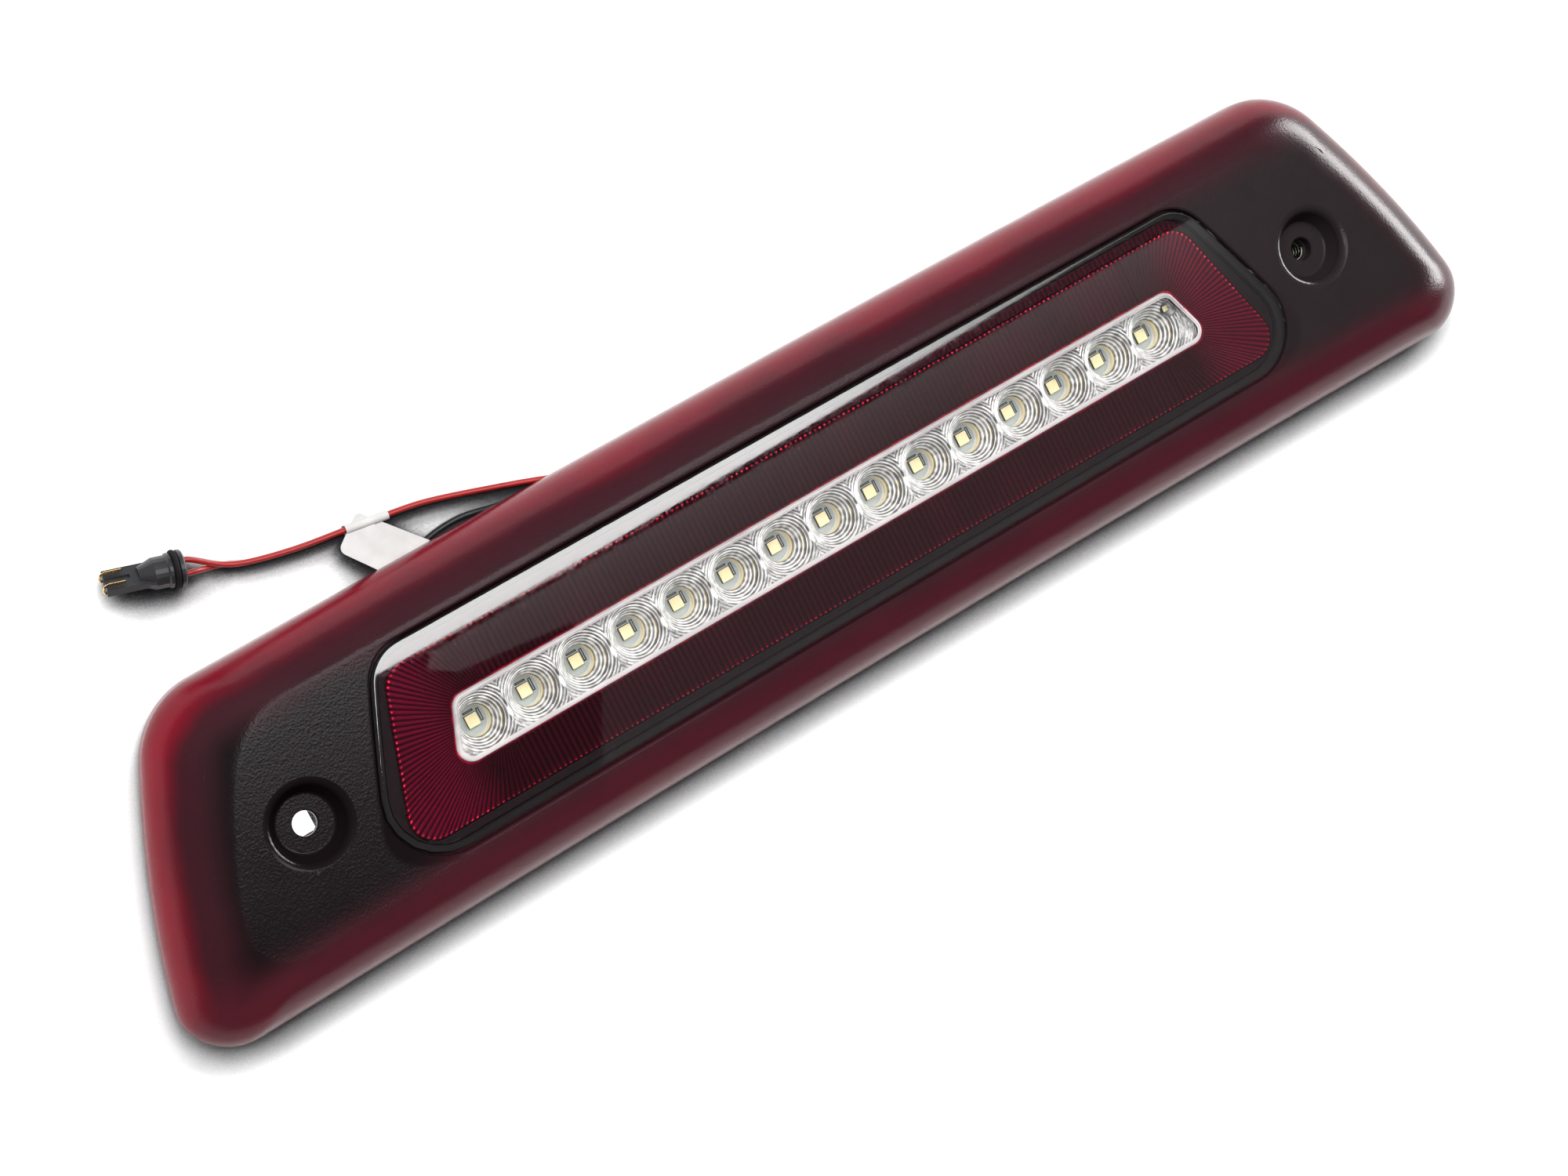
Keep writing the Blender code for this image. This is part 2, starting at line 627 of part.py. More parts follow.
def plug(black, rubber, gold, pivot):
    """Wedge plug: round collar with a seal, and a forked blade with a contact on each prong."""
    profile = [(4.6, 0.0), (PLUG_R, 0.4), (PLUG_R, 1.3), (3.9, 1.3), (3.9, 3.4), (PLUG_R - 0.3, 3.4),
               (PLUG_R - 0.3, 4.2), (4.3, 4.6), (4.3, 8.0), (2.6, 12.0)]
    body = turned("plug_body", profile, 0.0, 0.0, black)
    blade = box("blade", (-1.2, -3.5, 6.0), (1.2, 3.5, PLUG_LONG), black)
    combine(body, blade, "UNION")
    slot = box("slot", (-3.0, -0.6, PLUG_LONG - 6.7), (3.0, 0.6, PLUG_LONG + 2.0), black)
    combine(body, slot, "DIFFERENCE")
    for side in (-1, 1):
        hole = turned("hole", [(1.1, -1.0), (1.1, 3.0)], 0.0, 0.0, black, 12)
        roll = math.radians(-PLUG_ROLL)
        y = PLUG_SPREAD * side
        hole.data.transform(Matrix.Translation(Vector((-y * math.sin(roll), y * math.cos(roll), 0)) * MM))
        combine(body, hole, "DIFFERENCE")
    lay_down(body, pivot)
    seal = [(4.2, 1.7), (5.0, 1.7), (5.25, 2.1), (5.25, 2.6), (5.0, 3.0), (4.2, 3.0)]
    lay_down(turned("plug_seal", seal, 0.0, 0.0, rubber, closed=True), pivot)
    for number, y in ((1, -2.1), (2, 2.1)):
        off = 1.2 + GAP + CONTACT_R
        end = PLUG_LONG
        path = [(off, y, end - 7.5), (off, y, end - 4.0), (off, y, end - 0.6), (off * 0.6, y, end + 0.5),
                (0.0, y, end + 0.75), (-off * 0.6, y, end + 0.5), (-off, y, end - 0.6), (-off, y, end - 5.0)]
        contact = contact_wire("plug_contact_%d" % number, path, gold)
        lay_down(contact, pivot)


def contact_wire(name, path, surface):
    """Thin wire bent in the plane y = constant."""
    rings = []
    for i, point in enumerate(path):
        ahead = Vector(path[min(i + 1, len(path) - 1)]) - Vector(path[max(i - 1, 0)])
        ahead.normalize()
        side = Vector((0, 1, 0))
        up = ahead.cross(side)
        ring = []
        for k in range(8):
            turn = 2 * math.pi * k / 8
            ring.append(tuple(Vector(point) + CONTACT_R * (math.cos(turn) * side + math.sin(turn) * up)))
        rings.append(ring)
    return loft(name, rings, surface)


def main():
    clear_scene()
    cover_red = material("smoked_red", (0.09, 0.008, 0.012), 0.55)
    glass = material("smoked_glass", (0.05, 0.01, 0.012), 0.05)
    rubber = material("rubber", (0.02, 0.02, 0.02), 0.8)
    black = material("black_plastic", (0.02, 0.018, 0.02), 0.45)
    flute_red = material("flute_red", (0.35, 0.01, 0.03), 0.15)
    clear = material("clear_plastic", (0.85, 0.87, 0.88), 0.05)
    chrome = material("chrome", (0.8, 0.8, 0.8), 0.08, 1.0)
    fibreglass = material("board", (0.55, 0.58, 0.56), 0.5)
    cream = material("led_phosphor", (0.85, 0.72, 0.42), 0.4)
    red = material("led_red", (0.6, 0.05, 0.05), 0.3)
    ceramic = material("ceramic", (0.5, 0.4, 0.28), 0.4)
    steel = material("steel", (0.6, 0.6, 0.6), 0.3, 1.0)
    brass = material("insert_metal", (0.55, 0.5, 0.4), 0.3, 1.0)
    foam = material("foam", (0.03, 0.03, 0.03), 0.95)
    wire_red = material("wire_red", (0.62, 0.04, 0.03), 0.4)
    wire_black = material("wire_black", (0.02, 0.02, 0.02), 0.4)
    white = material("label_white", (0.85, 0.85, 0.84), 0.5)
    gold = material("contact_gold", (0.8, 0.6, 0.3), 0.3, 1.0)
    outer_cover(cover_red)
    window_pieces(glass, rubber, black)
    flute_lens(flute_red)
    plate("strip_lens", STRIP, STRIP_LOW, STRIP_TOP, clear, edge=0.5)
    reflector(chrome)
    leds(cream, red)
    board(fibreglass, black, ceramic, steel)
    rear_housing(black)
    fixings(steel, brass)
    gasket(foam)
    grommet(rubber)
    lead_axis = pivot_empty("lead_axis", PIVOT_X, PIVOT_Y, 0.0)
    leads(wire_red, wire_black, lead_axis)
    wire_label(white, lead_axis)
    plug_axis = pivot_empty("plug_axis", *PLUG_PIVOT, PLUG_TURN, lead_axis)
    plug(black, rubber, gold, plug_axis)


main()
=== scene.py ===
"""Looks of the third brake light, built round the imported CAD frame.

Lengths below are in millimetres and become metres when a mesh is made. The frame
is the CAD's own: +Z out of the window, +X along the lamp, the back at z = 0.
"""

import math

import bmesh
import bpy
from mathutils import Matrix, Vector, noise


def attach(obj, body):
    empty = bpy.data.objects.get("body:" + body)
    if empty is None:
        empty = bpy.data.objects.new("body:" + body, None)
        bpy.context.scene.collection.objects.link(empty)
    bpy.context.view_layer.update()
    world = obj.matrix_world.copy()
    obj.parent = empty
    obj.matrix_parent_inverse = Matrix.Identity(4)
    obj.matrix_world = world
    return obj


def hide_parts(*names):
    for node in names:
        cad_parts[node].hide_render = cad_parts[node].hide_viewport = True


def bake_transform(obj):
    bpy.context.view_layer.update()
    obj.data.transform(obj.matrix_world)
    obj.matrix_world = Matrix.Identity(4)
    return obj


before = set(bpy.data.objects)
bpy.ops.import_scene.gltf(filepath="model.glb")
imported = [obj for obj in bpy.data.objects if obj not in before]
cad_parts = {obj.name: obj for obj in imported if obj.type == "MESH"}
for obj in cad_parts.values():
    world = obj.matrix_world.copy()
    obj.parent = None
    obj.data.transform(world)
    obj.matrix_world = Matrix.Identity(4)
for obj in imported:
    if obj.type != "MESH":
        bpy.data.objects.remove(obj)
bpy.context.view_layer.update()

MM = 0.001
GAP = 0.3
Z_WINDOW = 28.0
Z_COVER = 27.8
Z_WIDEST = 9.5
Z_RIM = 4.7
Z_FLANGE = 7.0
Z_BOARD_TOP = 14.0
COVER_WALL = 2.4
ROLL_STEPS = 22
ROLL_POWER = 1.15
WINDOW_GAP = 0.35
LIP_R = 0.75
WINDOW_EDGE = 0.8
LEDGE_WIDTH = 2.4
LEDGE_TOP = 25.0
LEDGE_BOTTOM = 23.0
RECESS_X = 171.1
RECESS_Y = -2.0
RECESS_FLOOR = 21.9
RECESS_FLOOR_R = 8.5
RECESS_LIP_R = 12.0
RECESS_FILLET = 0.9
RECESS_ROUND = 2.6
HOLE_CHAMFER = 0.35
SCREW_HOLE_R = 3.4
INSERT_R = 4.7
INSERT_LOW = 9.2
INSERT_TOP = 18.5
HOUSING_SCREWS = ((-186.0, 20.0), (186.0, 20.0), (-195.0, -25.0), (195.0, -25.0))
LED_COUNT = 15
LED_PITCH = 16.5
LED_ROW_X = -1.9
LED_ROW_Y = -1.5
LED_SIZE = 3.75
LED_TALL = 0.9
LED_CORNER_R = 0.18
CORNER_LED = (121.5, 2.8)
CORNER_LED_SIZE = 1.9
CORNER_LED_TALL = 6.6
CUP_STEPS = ((4.45, 17.9), (5.2, 19.2), (5.95, 20.4), (6.7, 21.4), (7.45, 22.25), (8.3, 23.0))
# The third number of each wall ring is its painted tone, light or shade.
CUP_WALL = ((4.15, 15.7, 1.0), (4.3, 17.35, 0.9), (4.42, 17.5, 0.1))
CUP_BOTTOM_R = 4.1
RIPPLE = 0.9
DROP_HALF_WIDE = 0.5
CELL_REACH = 17.5
# Side of each cup that carries the painted reflection of the LED face.
PAINTED_REFLECTION_SIDE = math.radians(-20)
POCKET = ((1.9, Z_BOARD_TOP + 0.1), (1.9, 20.6), (2.3, 21.4), (2.9, 25.0))
FLUTE_PITCH = 1.65
FLUTE_COLUMNS = 6
FLUTE_TOP = 25.0
FLUTE_BOTTOM = 21.0
FLUTE_SHARES = (0.0, 0.028, 0.09, 0.3, 0.55, 0.8, 0.955, 0.985, 1.0)
STRAIGHT_FLUTES = 68
STRIP_PROFILE = ((0.0, 23.5), (0.0, 25.0), (0.12, 25.3), (0.4, 25.5), (0.95, 25.5), (1.05, 25.3),
                 (1.2, 25.3), (1.3, 25.46), (1.45, 25.46), (1.6, 25.46))
STRIP_GROWTH = 0.22
THREAD_PITCH = 1.5
THREAD_R = 2.78
KEY = 8.0
LIGHT = 7.4
KEY_HEIGHT = 700.0
VEIL_HEIGHT = 1300.0
WIRE_R = 0.8
WIRE_LOW_Z = 1.35
WIRE_HIGH_Z = 3.25
BOARD_LOW = 12.4 - GAP
PIVOT = (-40.0, 26.5)
PLUG_PIVOT = (-163.6, 69.8)
PLUG_TURN = 164.0
PLUG_R = 5.0
PLUG_SPREAD = 1.7
LABEL_CENTRE = (-114.75, 57.45)
LABEL_TURN = -7.9
LABEL_WIDE = 12.4
PAPER_THICK = 0.24
FLAG_CENTRE = (-113.8, 47.9)
FLAG_TURN = -52.6
LEAD_PATH = ((-40.0, 26.5), (-44.0, 33.5), (-53.0, 40.0), (-65.2, 44.9), (-79.0, 49.4), (-96.9, 54.6),
             (-108.6, 56.6), (-120.9, 58.3), (-134.4, 60.1), (-146.9, 62.8), (-154.1, 65.6))
CAMERA_PLACE = (-315.37, 116.65, 801.56)
BLACK_PATH = ((-42.0, 26.5), (-50.0, 35.0), (-65.0, 40.5), (-81.5, 44.7),
              (-92.5, 46.5), (-104.2, 44.9), (-116.0, 39.0), (-125.0, 35.0))


class Outline:
    """Rounded trapezoid, symmetric about x = 0, with gently bulged ends."""

    def __init__(self, top, bottom, reach, lean, top_r, bottom_r, bulge=0.0, bow=0.0):
        self.top, self.bottom, self.reach, self.lean = top, bottom, reach, lean
        self.top_r, self.bottom_r, self.bulge, self.bow = top_r, bottom_r, bulge, bow

    def inset(self, d):
        reach = self.reach - d * math.hypot(1.0, self.lean)
        return Outline(self.top - d, self.bottom + d, reach, self.lean, max(self.top_r - d, 0.6),
                       max(self.bottom_r - d, 0.6), self.bulge, self.bow)

    def corner(self, y, radius, is_top, steps):
        slope = math.atan(self.lean)
        x = self.reach - self.lean * y
        turn = math.pi / 2 - slope if is_top else math.pi / 2 + slope
        cx = x - radius * math.tan(turn / 2)
        cy = y - radius if is_top else y + radius
        first, last = (slope, math.pi / 2) if is_top else (-math.pi / 2, slope)
        angles = [first + (last - first) * i / steps for i in range(steps + 1)]
        return [(cx + radius * math.cos(a), cy + radius * math.sin(a)) for a in angles]

    def points(self, corner_steps=14, end_steps=10, edge_steps=30):
        low = self.corner(self.bottom, self.bottom_r, False, corner_steps)
        high = self.corner(self.top, self.top_r, True, corner_steps)
        half = [(low[0][0] * i / edge_steps, self.bottom) for i in range(edge_steps)]
        half += low
        for i in range(1, end_steps):
            t = i / end_steps
            half.append((low[-1][0] + (high[0][0] - low[-1][0]) * t,
                         low[-1][1] + (high[0][1] - low[-1][1]) * t))
        half += high
        half += [(high[-1][0] * (1 - i / edge_steps), self.top) for i in range(1, edge_steps + 1)]
        whole = half + [(-x, y) for x, y in reversed(half[1:-1])]
        return [self.bend(x, y) for x, y in whole]

    def bend(self, x, y):
        middle = (self.top + self.bottom) / 2
        height = (self.top - self.bottom) / 2
        along = x / self.reach
        across = min(abs((y - middle) / height), 1.0)
        return (x + self.bulge * along * (1 - across ** 2), y + self.bow * (1 - along ** 2))

    def depth(self, x, y):
        """How far a point lies inside the edge, with round contours in the corners."""
        y = y - self.bow * (1 - (x / self.reach) ** 2)
        middle = (self.top + self.bottom) / 2
        height = (self.top - self.bottom) / 2
        across = min(abs((y - middle) / height), 1.0)
        bulge = self.bulge * (1 - across ** 2)
        side = (self.reach + bulge - self.lean * y - abs(x)) / math.hypot(1.0, self.lean)
        if y > middle:
            edge, radius = self.top - y, self.top_r
        else:
            edge, radius = y - self.bottom, self.bottom_r
        if side < radius and edge < radius:
            return radius - math.hypot(radius - side, radius - edge)
        return min(side, edge)


RIM = Outline(44.1, -46.7, 207.6, 0.36, 20.0, 12.4, 4.5, 1.4)
CREST = Outline(29.8, -31.6, 186.6, 0.45, 22.0, 9.0, 4.5, 1.4)
WINDOW = Outline(28.7, -28.5, 148.6, 0.411, 12.0, 16.0, 0.8)
FLUTES = Outline(23.0, -23.4, 142.7, 0.336, 8.0, 7.0)
STRIP = Outline(7.7, -9.8, 125.1, 0.4, 4.0, 4.0)


# ---------------------------------------------------------------- materials

def linear(*srgb):
    """Linear colour from 0-255 sRGB values."""
    out = []
    for value in srgb:
        c = value / 255
        out.append(c / 12.92 if c <= 0.04045 else ((c + 0.055) / 1.055) ** 2.4)
    return (*out, 1.0)


class Graph:
    """Small helper that builds a node material; sockets and plain values mix freely."""

    def __init__(self, name):
        self.material = bpy.data.materials.new(name)
        self.material.use_nodes = True
        self.tree = self.material.node_tree
        self.tree.nodes.clear()
        self.output = self.tree.nodes.new("ShaderNodeOutputMaterial")
        self.place = self.add("ShaderNodeTexCoord").outputs["Object"]
        self.axes = self.add("ShaderNodeSeparateXYZ", {0: self.place}).outputs

    def add(self, kind, inputs=None, **settings):
        made = self.tree.nodes.new(kind)
        for key, value in settings.items():
            setattr(made, key, value)
        for key, value in (inputs or {}).items():
            self.feed(made.inputs[key], value)
        return made

    def feed(self, socket, value):
        if isinstance(value, bpy.types.NodeSocket):
            self.tree.links.new(value, socket)
        else:
            socket.default_value = value

    def noise(self, size_mm, detail=2.0, stretch=None, rough=0.5):
        """Perlin noise, 0 to 1, with features about size_mm wide."""
        vector = self.place
        if stretch:
            vector = self.add("ShaderNodeVectorMath", {0: vector, 1: stretch},
                              operation="MULTIPLY").outputs[0]
        made = self.add("ShaderNodeTexNoise", {"Vector": vector, "Scale": 1000.0 / size_mm,
                                               "Detail": detail, "Roughness": rough})
        return made.outputs["Fac"]

    def cells(self, size_mm, feature="F1"):
        """Distance to the nearest of scattered points about size_mm apart."""
        made = self.add("ShaderNodeTexVoronoi", {"Vector": self.place, "Scale": 1000.0 / size_mm},
                        feature=feature)
        return made.outputs["Distance"]

    def attribute(self, name):
        return self.add("ShaderNodeAttribute", attribute_name=name).outputs["Fac"]

    def ramp(self, value, low, high, first=0.0, last=1.0, smooth=False):
        kind = "SMOOTHSTEP" if smooth else "LINEAR"
        made = self.add("ShaderNodeMapRange", {"Value": value, "From Min": low, "From Max": high,
                                               "To Min": first, "To Max": last}, interpolation_type=kind)
        return made.outputs["Result"]

    def spread(self, noise_value, first, last):
        """The middle of a noise, stretched from first to last."""
        return self.ramp(noise_value, 0.3, 0.7, first, last)

    def mix(self, share, a, b):
        made = self.add("ShaderNodeMix", {0: share}, data_type="RGBA")
        self.feed(made.inputs[6], a)
        self.feed(made.inputs[7], b)
        return made.outputs[2]

    def reckon(self, operation, a, b=0.0):
        return self.add("ShaderNodeMath", {0: a, 1: b}, operation=operation).outputs[0]

    def sum(self, a, b):
        return self.reckon("ADD", a, b)

    def product(self, a, b):
        return self.reckon("MULTIPLY", a, b)

    def larger(self, a, b):
        return self.reckon("MAXIMUM", a, b)

    def bump(self, height, depth_mm, before=None):
        inputs = {"Height": height, "Distance": depth_mm * MM, "Strength": 1.0}
        if before is not None:
            inputs["Normal"] = before
        return self.add("ShaderNodeBump", inputs).outputs["Normal"]

    def principled(self, **inputs):
        named = {key.replace("_", " "): value for key, value in inputs.items()}
        made = self.add("ShaderNodeBsdfPrincipled", named)
        return self.finish(made)

    def finish(self, shader):
        self.feed(self.output.inputs["Surface"], shader.outputs[0])
        return self.material

    def glass(self, tint, rough, index, **mirror):
        """Thin tinted glass: clear in transmission, mirrored on its outer side only."""
        back = self.add("ShaderNodeNewGeometry").outputs["Backfacing"]
        through = self.add("ShaderNodeBsdfTransparent", {"Color": tint}).outputs[0]
        inputs = {"Color": (1, 1, 1, 1), "Roughness": rough, **mirror}
        shine = self.add("ShaderNodeBsdfGlossy", inputs).outputs[0]
        share = self.add("ShaderNodeFresnel", {"IOR": index}).outputs[0]
        share = self.product(share, self.ramp(back, 0.0, 1.0, 1.0, 0.0))
        return share, through, shine

    def blend_glass(self, share, through, shine):
        return self.finish(self.add("ShaderNodeMixShader", {0: share, 1: through, 2: shine}))


def shades(colour, by):
    """A darker and a lighter version of a colour."""
    low = tuple(c * (1 - by) for c in colour[:3]) + (1.0,)
    high = tuple(min(c * (1 + by), 1.0) for c in colour[:3]) + (1.0,)
    return low, high


def moulded(name, colour, rough, grain=0.5, depth=0.01, vary=0.12, metallic=0.0, patch=9.0,
            glow=0.0, shine=0.5):
    """Moulded or cast surface: mottled colour, uneven gloss and a fine grain; glow gives it a painted glow in its
    own colour.
    """
    g = Graph(name)
    low, high = shades(colour, vary)
    cloud = g.noise(patch, 3.0)
    fine = g.noise(grain, 2.0)
    mottled = g.mix(g.spread(cloud, 0.0, 1.0), low, high)
    return g.principled(Base_Color=mottled, Roughness=g.spread(fine, rough - 0.05, rough + 0.06),
                        Metallic=metallic, IOR=1.5, Specular_IOR_Level=shine,
                        Emission_Color=mottled, Emission_Strength=glow, Normal=g.bump(fine, depth))


def cover_material():
    """Red plastic under a soft black fade, with a fine leather grain, and painted light and shade: lighter on the
    lower side and towards the right end, a darker red along the upper side.
    """
    g = Graph("smoked_cover")
    rim = g.attribute("rim")
    cloud = g.noise(26.0, 3.0)
    fade = g.sum(rim, g.ramp(cloud, 0.2, 0.8, -1.6, 1.6))
    # Painted light and shade: below y = -22 mm the dark and deep colours are painted lighter and the red paler;
    # above y = 28 mm the red is painted darker.
    lower = g.ramp(g.axes[1], -0.022, -0.040, 0.0, 1.0, True)
    upper = g.ramp(g.axes[1], 0.028, 0.042, 0.0, 1.0, True)
    # Painted light and shade: the dark centre is painted darker towards the left end and lighter towards the right
    # end.
    plateau = g.mix(g.ramp(g.axes[0], -0.16, 0.16), linear(19, 14, 16), linear(35, 29, 31))
    dark = g.mix(lower, plateau, linear(46, 22, 27))
    deep = g.mix(lower, linear(50, 22, 28), linear(78, 28, 38))
    red = g.mix(lower, linear(118, 14, 31), linear(110, 24, 38))
    red = g.mix(upper, red, linear(104, 13, 28))
    first = g.mix(g.ramp(fade, 9.0, 21.0, 1.0, 0.0, True), dark, deep)
    colour = g.mix(g.ramp(fade, 0.0, 9.0, 1.0, 0.0, True), first, red)
    pebble = g.cells(0.62, "SMOOTH_F1")
    fine = g.noise(0.35, 3.0)
    grain = g.bump(fine, 0.012, g.bump(pebble, 0.035))
    shine = g.ramp(g.attribute("lip"), 0.3, 1.6, 0.0, 0.5)
    return g.principled(Base_Color=colour, Roughness=g.spread(g.noise(14.0, 2.0), 0.19, 0.24),
                        Normal=grain, IOR=1.21, Specular_IOR_Level=shine)


def window_material():
    """Smoked glass: tints what lies under it and mirrors the cards above, most where it is flat."""
    g = Graph("window")
    tint = g.mix(g.ramp(g.noise(60.0), 0.2, 0.8), (0.965, 0.955, 0.955, 1.0), (0.985, 0.975, 0.975, 1.0))
    share, through, shine = g.glass(tint, g.spread(g.noise(3.0), 0.012, 0.03), 1.52,
                                    Normal=g.bump(g.noise(22.0), 0.002))
    facing = g.add("ShaderNodeNewGeometry").outputs["Normal"]
    upright = g.add("ShaderNodeSeparateXYZ", {0: facing}).outputs[2]
    share = g.product(share, g.ramp(upright, 0.96, 0.995, 0.06, 2.0))
    return g.blend_glass(share, through, shine)


def clear_material():
    """Clear strip lens over the chrome bar."""
    g = Graph("clear_strip")
    tint = g.mix(g.spread(g.noise(12.0), 0.0, 1.0), (0.96, 0.965, 0.96, 1.0), (0.99, 0.99, 0.985, 1.0))
    return g.blend_glass(*g.glass(tint, g.spread(g.noise(2.0), 0.02, 0.05), 1.49))


def flute_material():
    """Deep red lens in painted light and shade: ribs painted light, valleys painted dark, and painted brighter round
    the ends and at the outer edge.
    """
    g = Graph("fluted_red")
    rib = g.attribute("rib")
    # Painted light: the ends of the lens and its outer edge are painted brighter.
    ends = g.ramp(g.reckon("ABSOLUTE", g.axes[0]), 0.116, 0.134, 0.0, 1.0, True)
    rim = g.ramp(g.attribute("outward"), 0.8, 0.98, 0.0, 0.2)
    lit = g.sum(g.larger(ends, rim), g.spread(g.noise(30.0, 2.0), -0.15, 0.15))
    valley = g.mix(lit, linear(20, 0, 4), linear(34, 0, 10))
    ridge = g.mix(lit, linear(40, 1, 10), linear(88, 1, 30))
    colour = g.mix(g.ramp(rib, 0.2, 1.0, 0.0, 1.0, True), valley, ridge)
    fine = g.noise(0.5, 2.0)
    return g.principled(Base_Color=colour, Roughness=g.spread(fine, 0.2, 0.3),
                        Normal=g.bump(fine, 0.006), IOR=1.5, Specular_IOR_Level=0.02)


def bezel_material():
    """Black bezel whose upper edge is painted with the red lens's ribs, in painted light and shade: light ridges,
    dark valleys.
    """
    g = Graph("inner_bezel_look")
    turn = g.product(g.axes[0], 2 * math.pi / (FLUTE_PITCH * MM))
    wave = g.ramp(g.reckon("SINE", turn), -1.0, 1.0)
    share = g.ramp(g.axes[1], 0.021, 0.0225)
    # Painted light and shade: the ribs alternate between light and dark red.
    rib = g.mix(wave, linear(16, 0, 5), linear(52, 1, 16))
    colour = g.mix(share, linear(22, 13, 16), rib)
    fine = g.noise(0.6)
    return g.principled(Base_Color=colour, Roughness=g.spread(fine, 0.4, 0.5),
                        Specular_IOR_Level=0.05, Normal=g.bump(fine, 0.01))


def glint_material():
    """Prism ends of the flutes, given a painted red glow that stands in for the light they catch."""
    g = Graph("flute_glint")
    spark = g.ramp(g.noise(2.4, 2.0), 0.35, 0.65)
    colour = g.mix(spark, linear(150, 4, 30), linear(255, 30, 66))
    # Painted highlight: the glow is painted strongest along the upper side and the left end, and weaker along the
    # inner edge.
    upper = g.ramp(g.axes[1], -0.012, 0.004, 0.4, 1.0)
    left = g.ramp(g.axes[0], -0.128, -0.105, 1.0, 0.0)
    share = g.product(g.larger(upper, left), g.ramp(g.attribute("outward"), 0.3, 0.7, 0.35, 1.0))
    power = g.product(g.ramp(spark, 0.0, 1.0, 0.15, 1.1), share)
    dull = g.mix(share, linear(60, 1, 20), linear(120, 4, 34))
    return g.principled(Base_Color=dull, Roughness=g.ramp(spark, 0.0, 1.0, 0.3, 0.15),
                        Specular_IOR_Level=0.1, Emission_Color=colour, Emission_Strength=power)


def chrome_material(name="chrome_reflector", tint=(0.95, 0.96, 0.96, 1.0), rough=0.06):
    """Bright metallised plastic in painted light and shade: its tone paints a groove dark at 0 and a crest lit at 1,
    and at 2 a white drop with a strong glow, a painted reflection; every part also glows a little.
    """
    g = Graph(name)
    tone = g.attribute("tone")
    dark = tuple(c * 0.14 for c in tint[:3]) + (1.0,)
    fine = g.noise(0.9, 3.0)
    colour = g.mix(g.ramp(tone, 0.0, 1.0), dark, tint)
    return g.principled(Base_Color=colour, Metallic=g.spread(fine, 0.2, 0.3), IOR=1.8,
                        Roughness=g.spread(fine, rough, rough + 0.08), Normal=g.bump(fine, 0.02),
                        Emission_Color=colour, Emission_Strength=g.ramp(tone, 1.0, 2.0, 0.14, 0.9))


def strip_edge_material():
    """Pale grey rim of the clear lens with a painted glow, brighter along its lower edge."""
    g = Graph("clear_strip_rim")
    streak = g.noise(3.0, 2.0, (0.2, 1.0, 1.0))
    colour = g.mix(g.spread(streak, 0.0, 1.0), linear(150, 146, 147), linear(176, 172, 172))
    return g.principled(Base_Color=colour, Roughness=g.spread(streak, 0.14, 0.24), IOR=1.5,
                        Coat_Weight=0.5, Emission_Color=(1.0, 0.98, 0.98, 1.0),
                        Emission_Strength=g.ramp(g.axes[1], 0.002, -0.006, 0.1, 0.38))


def phosphor_material():
    """Cream face of a white LED, with a faint painted glow that lightens it."""
    g = Graph("white_led")
    cloud = g.noise(1.6, 2.0)
    colour = g.mix(g.ramp(cloud, 0.25, 0.75), linear(228, 216, 170), linear(238, 228, 186))
    return g.principled(Base_Color=colour, Roughness=g.spread(g.noise(0.3), 0.28, 0.4),
                        Normal=g.bump(g.noise(0.25), 0.01), Emission_Color=colour, Emission_Strength=0.16)


def paper_material():
    """Blank white label paper."""
    g = Graph("label")
    fibre = g.noise(0.35, 3.0, (1.0, 3.0, 1.0))
    colour = g.mix(g.spread(g.noise(5.0), 0.0, 1.0), linear(172, 171, 169), linear(184, 183, 182))
    return g.principled(Base_Color=colour, Roughness=g.spread(fibre, 0.42, 0.55),
                        Normal=g.bump(fibre, 0.008), IOR=1.45)


def foam_material():
    """Black open-cell foam."""
    g = Graph("foam")
    pores = g.cells(0.8)
    colour = g.mix(g.ramp(pores, 0.1, 0.6), linear(14, 14, 15), linear(38, 38, 40))
    return g.principled(Base_Color=colour, Roughness=g.ramp(pores, 0.1, 0.6, 0.98, 0.85),
                        Normal=g.bump(pores, 0.25))


def wire_material(name, colour, rough):
    """Drawn plastic insulation."""
    g = Graph(name)
    low, high = shades(colour, 0.1)
    drawn = g.noise(0.8, 3.0, (0.25, 1.0, 1.0))
    return g.principled(Base_Color=g.mix(g.spread(g.noise(11.0), 0.0, 1.0), low, high),
                        Roughness=g.spread(drawn, rough - 0.06, rough + 0.08),
                        Normal=g.bump(drawn, 0.012), IOR=1.5, Coat_Weight=0.15, Coat_Roughness=0.2)


# ---------------------------------------------------------------- mesh tools

def add_mesh(name, verts, faces, surface, slots=None, angle=35.0):
    """New object from points in millimetres; slots gives a material index for each face."""
    mesh = bpy.data.meshes.new(name)
    mesh.from_pydata([Vector(v) * MM for v in verts], [], faces)
    for item in surface if isinstance(surface, (list, tuple)) else [surface]:
        mesh.materials.append(item)
    if slots:
        for face, index in zip(mesh.polygons, slots):
            face.material_index = index
    mesh.update()
    made = bpy.data.objects.new(name, mesh)
    bpy.context.scene.collection.objects.link(made)
    finish_mesh(mesh, angle)
    return made


def finish_mesh(mesh, angle=35.0, merge=0.0):
    """Weld, face outwards and shade smooth."""
    work = bmesh.new()
    work.from_mesh(mesh)
    if merge:
        bmesh.ops.remove_doubles(work, verts=work.verts, dist=merge * MM)
    bmesh.ops.recalc_face_normals(work, faces=work.faces)
    work.to_mesh(mesh)
    work.free()
    mesh.shade_smooth()
    mesh.set_sharp_from_angle(angle=math.radians(angle))


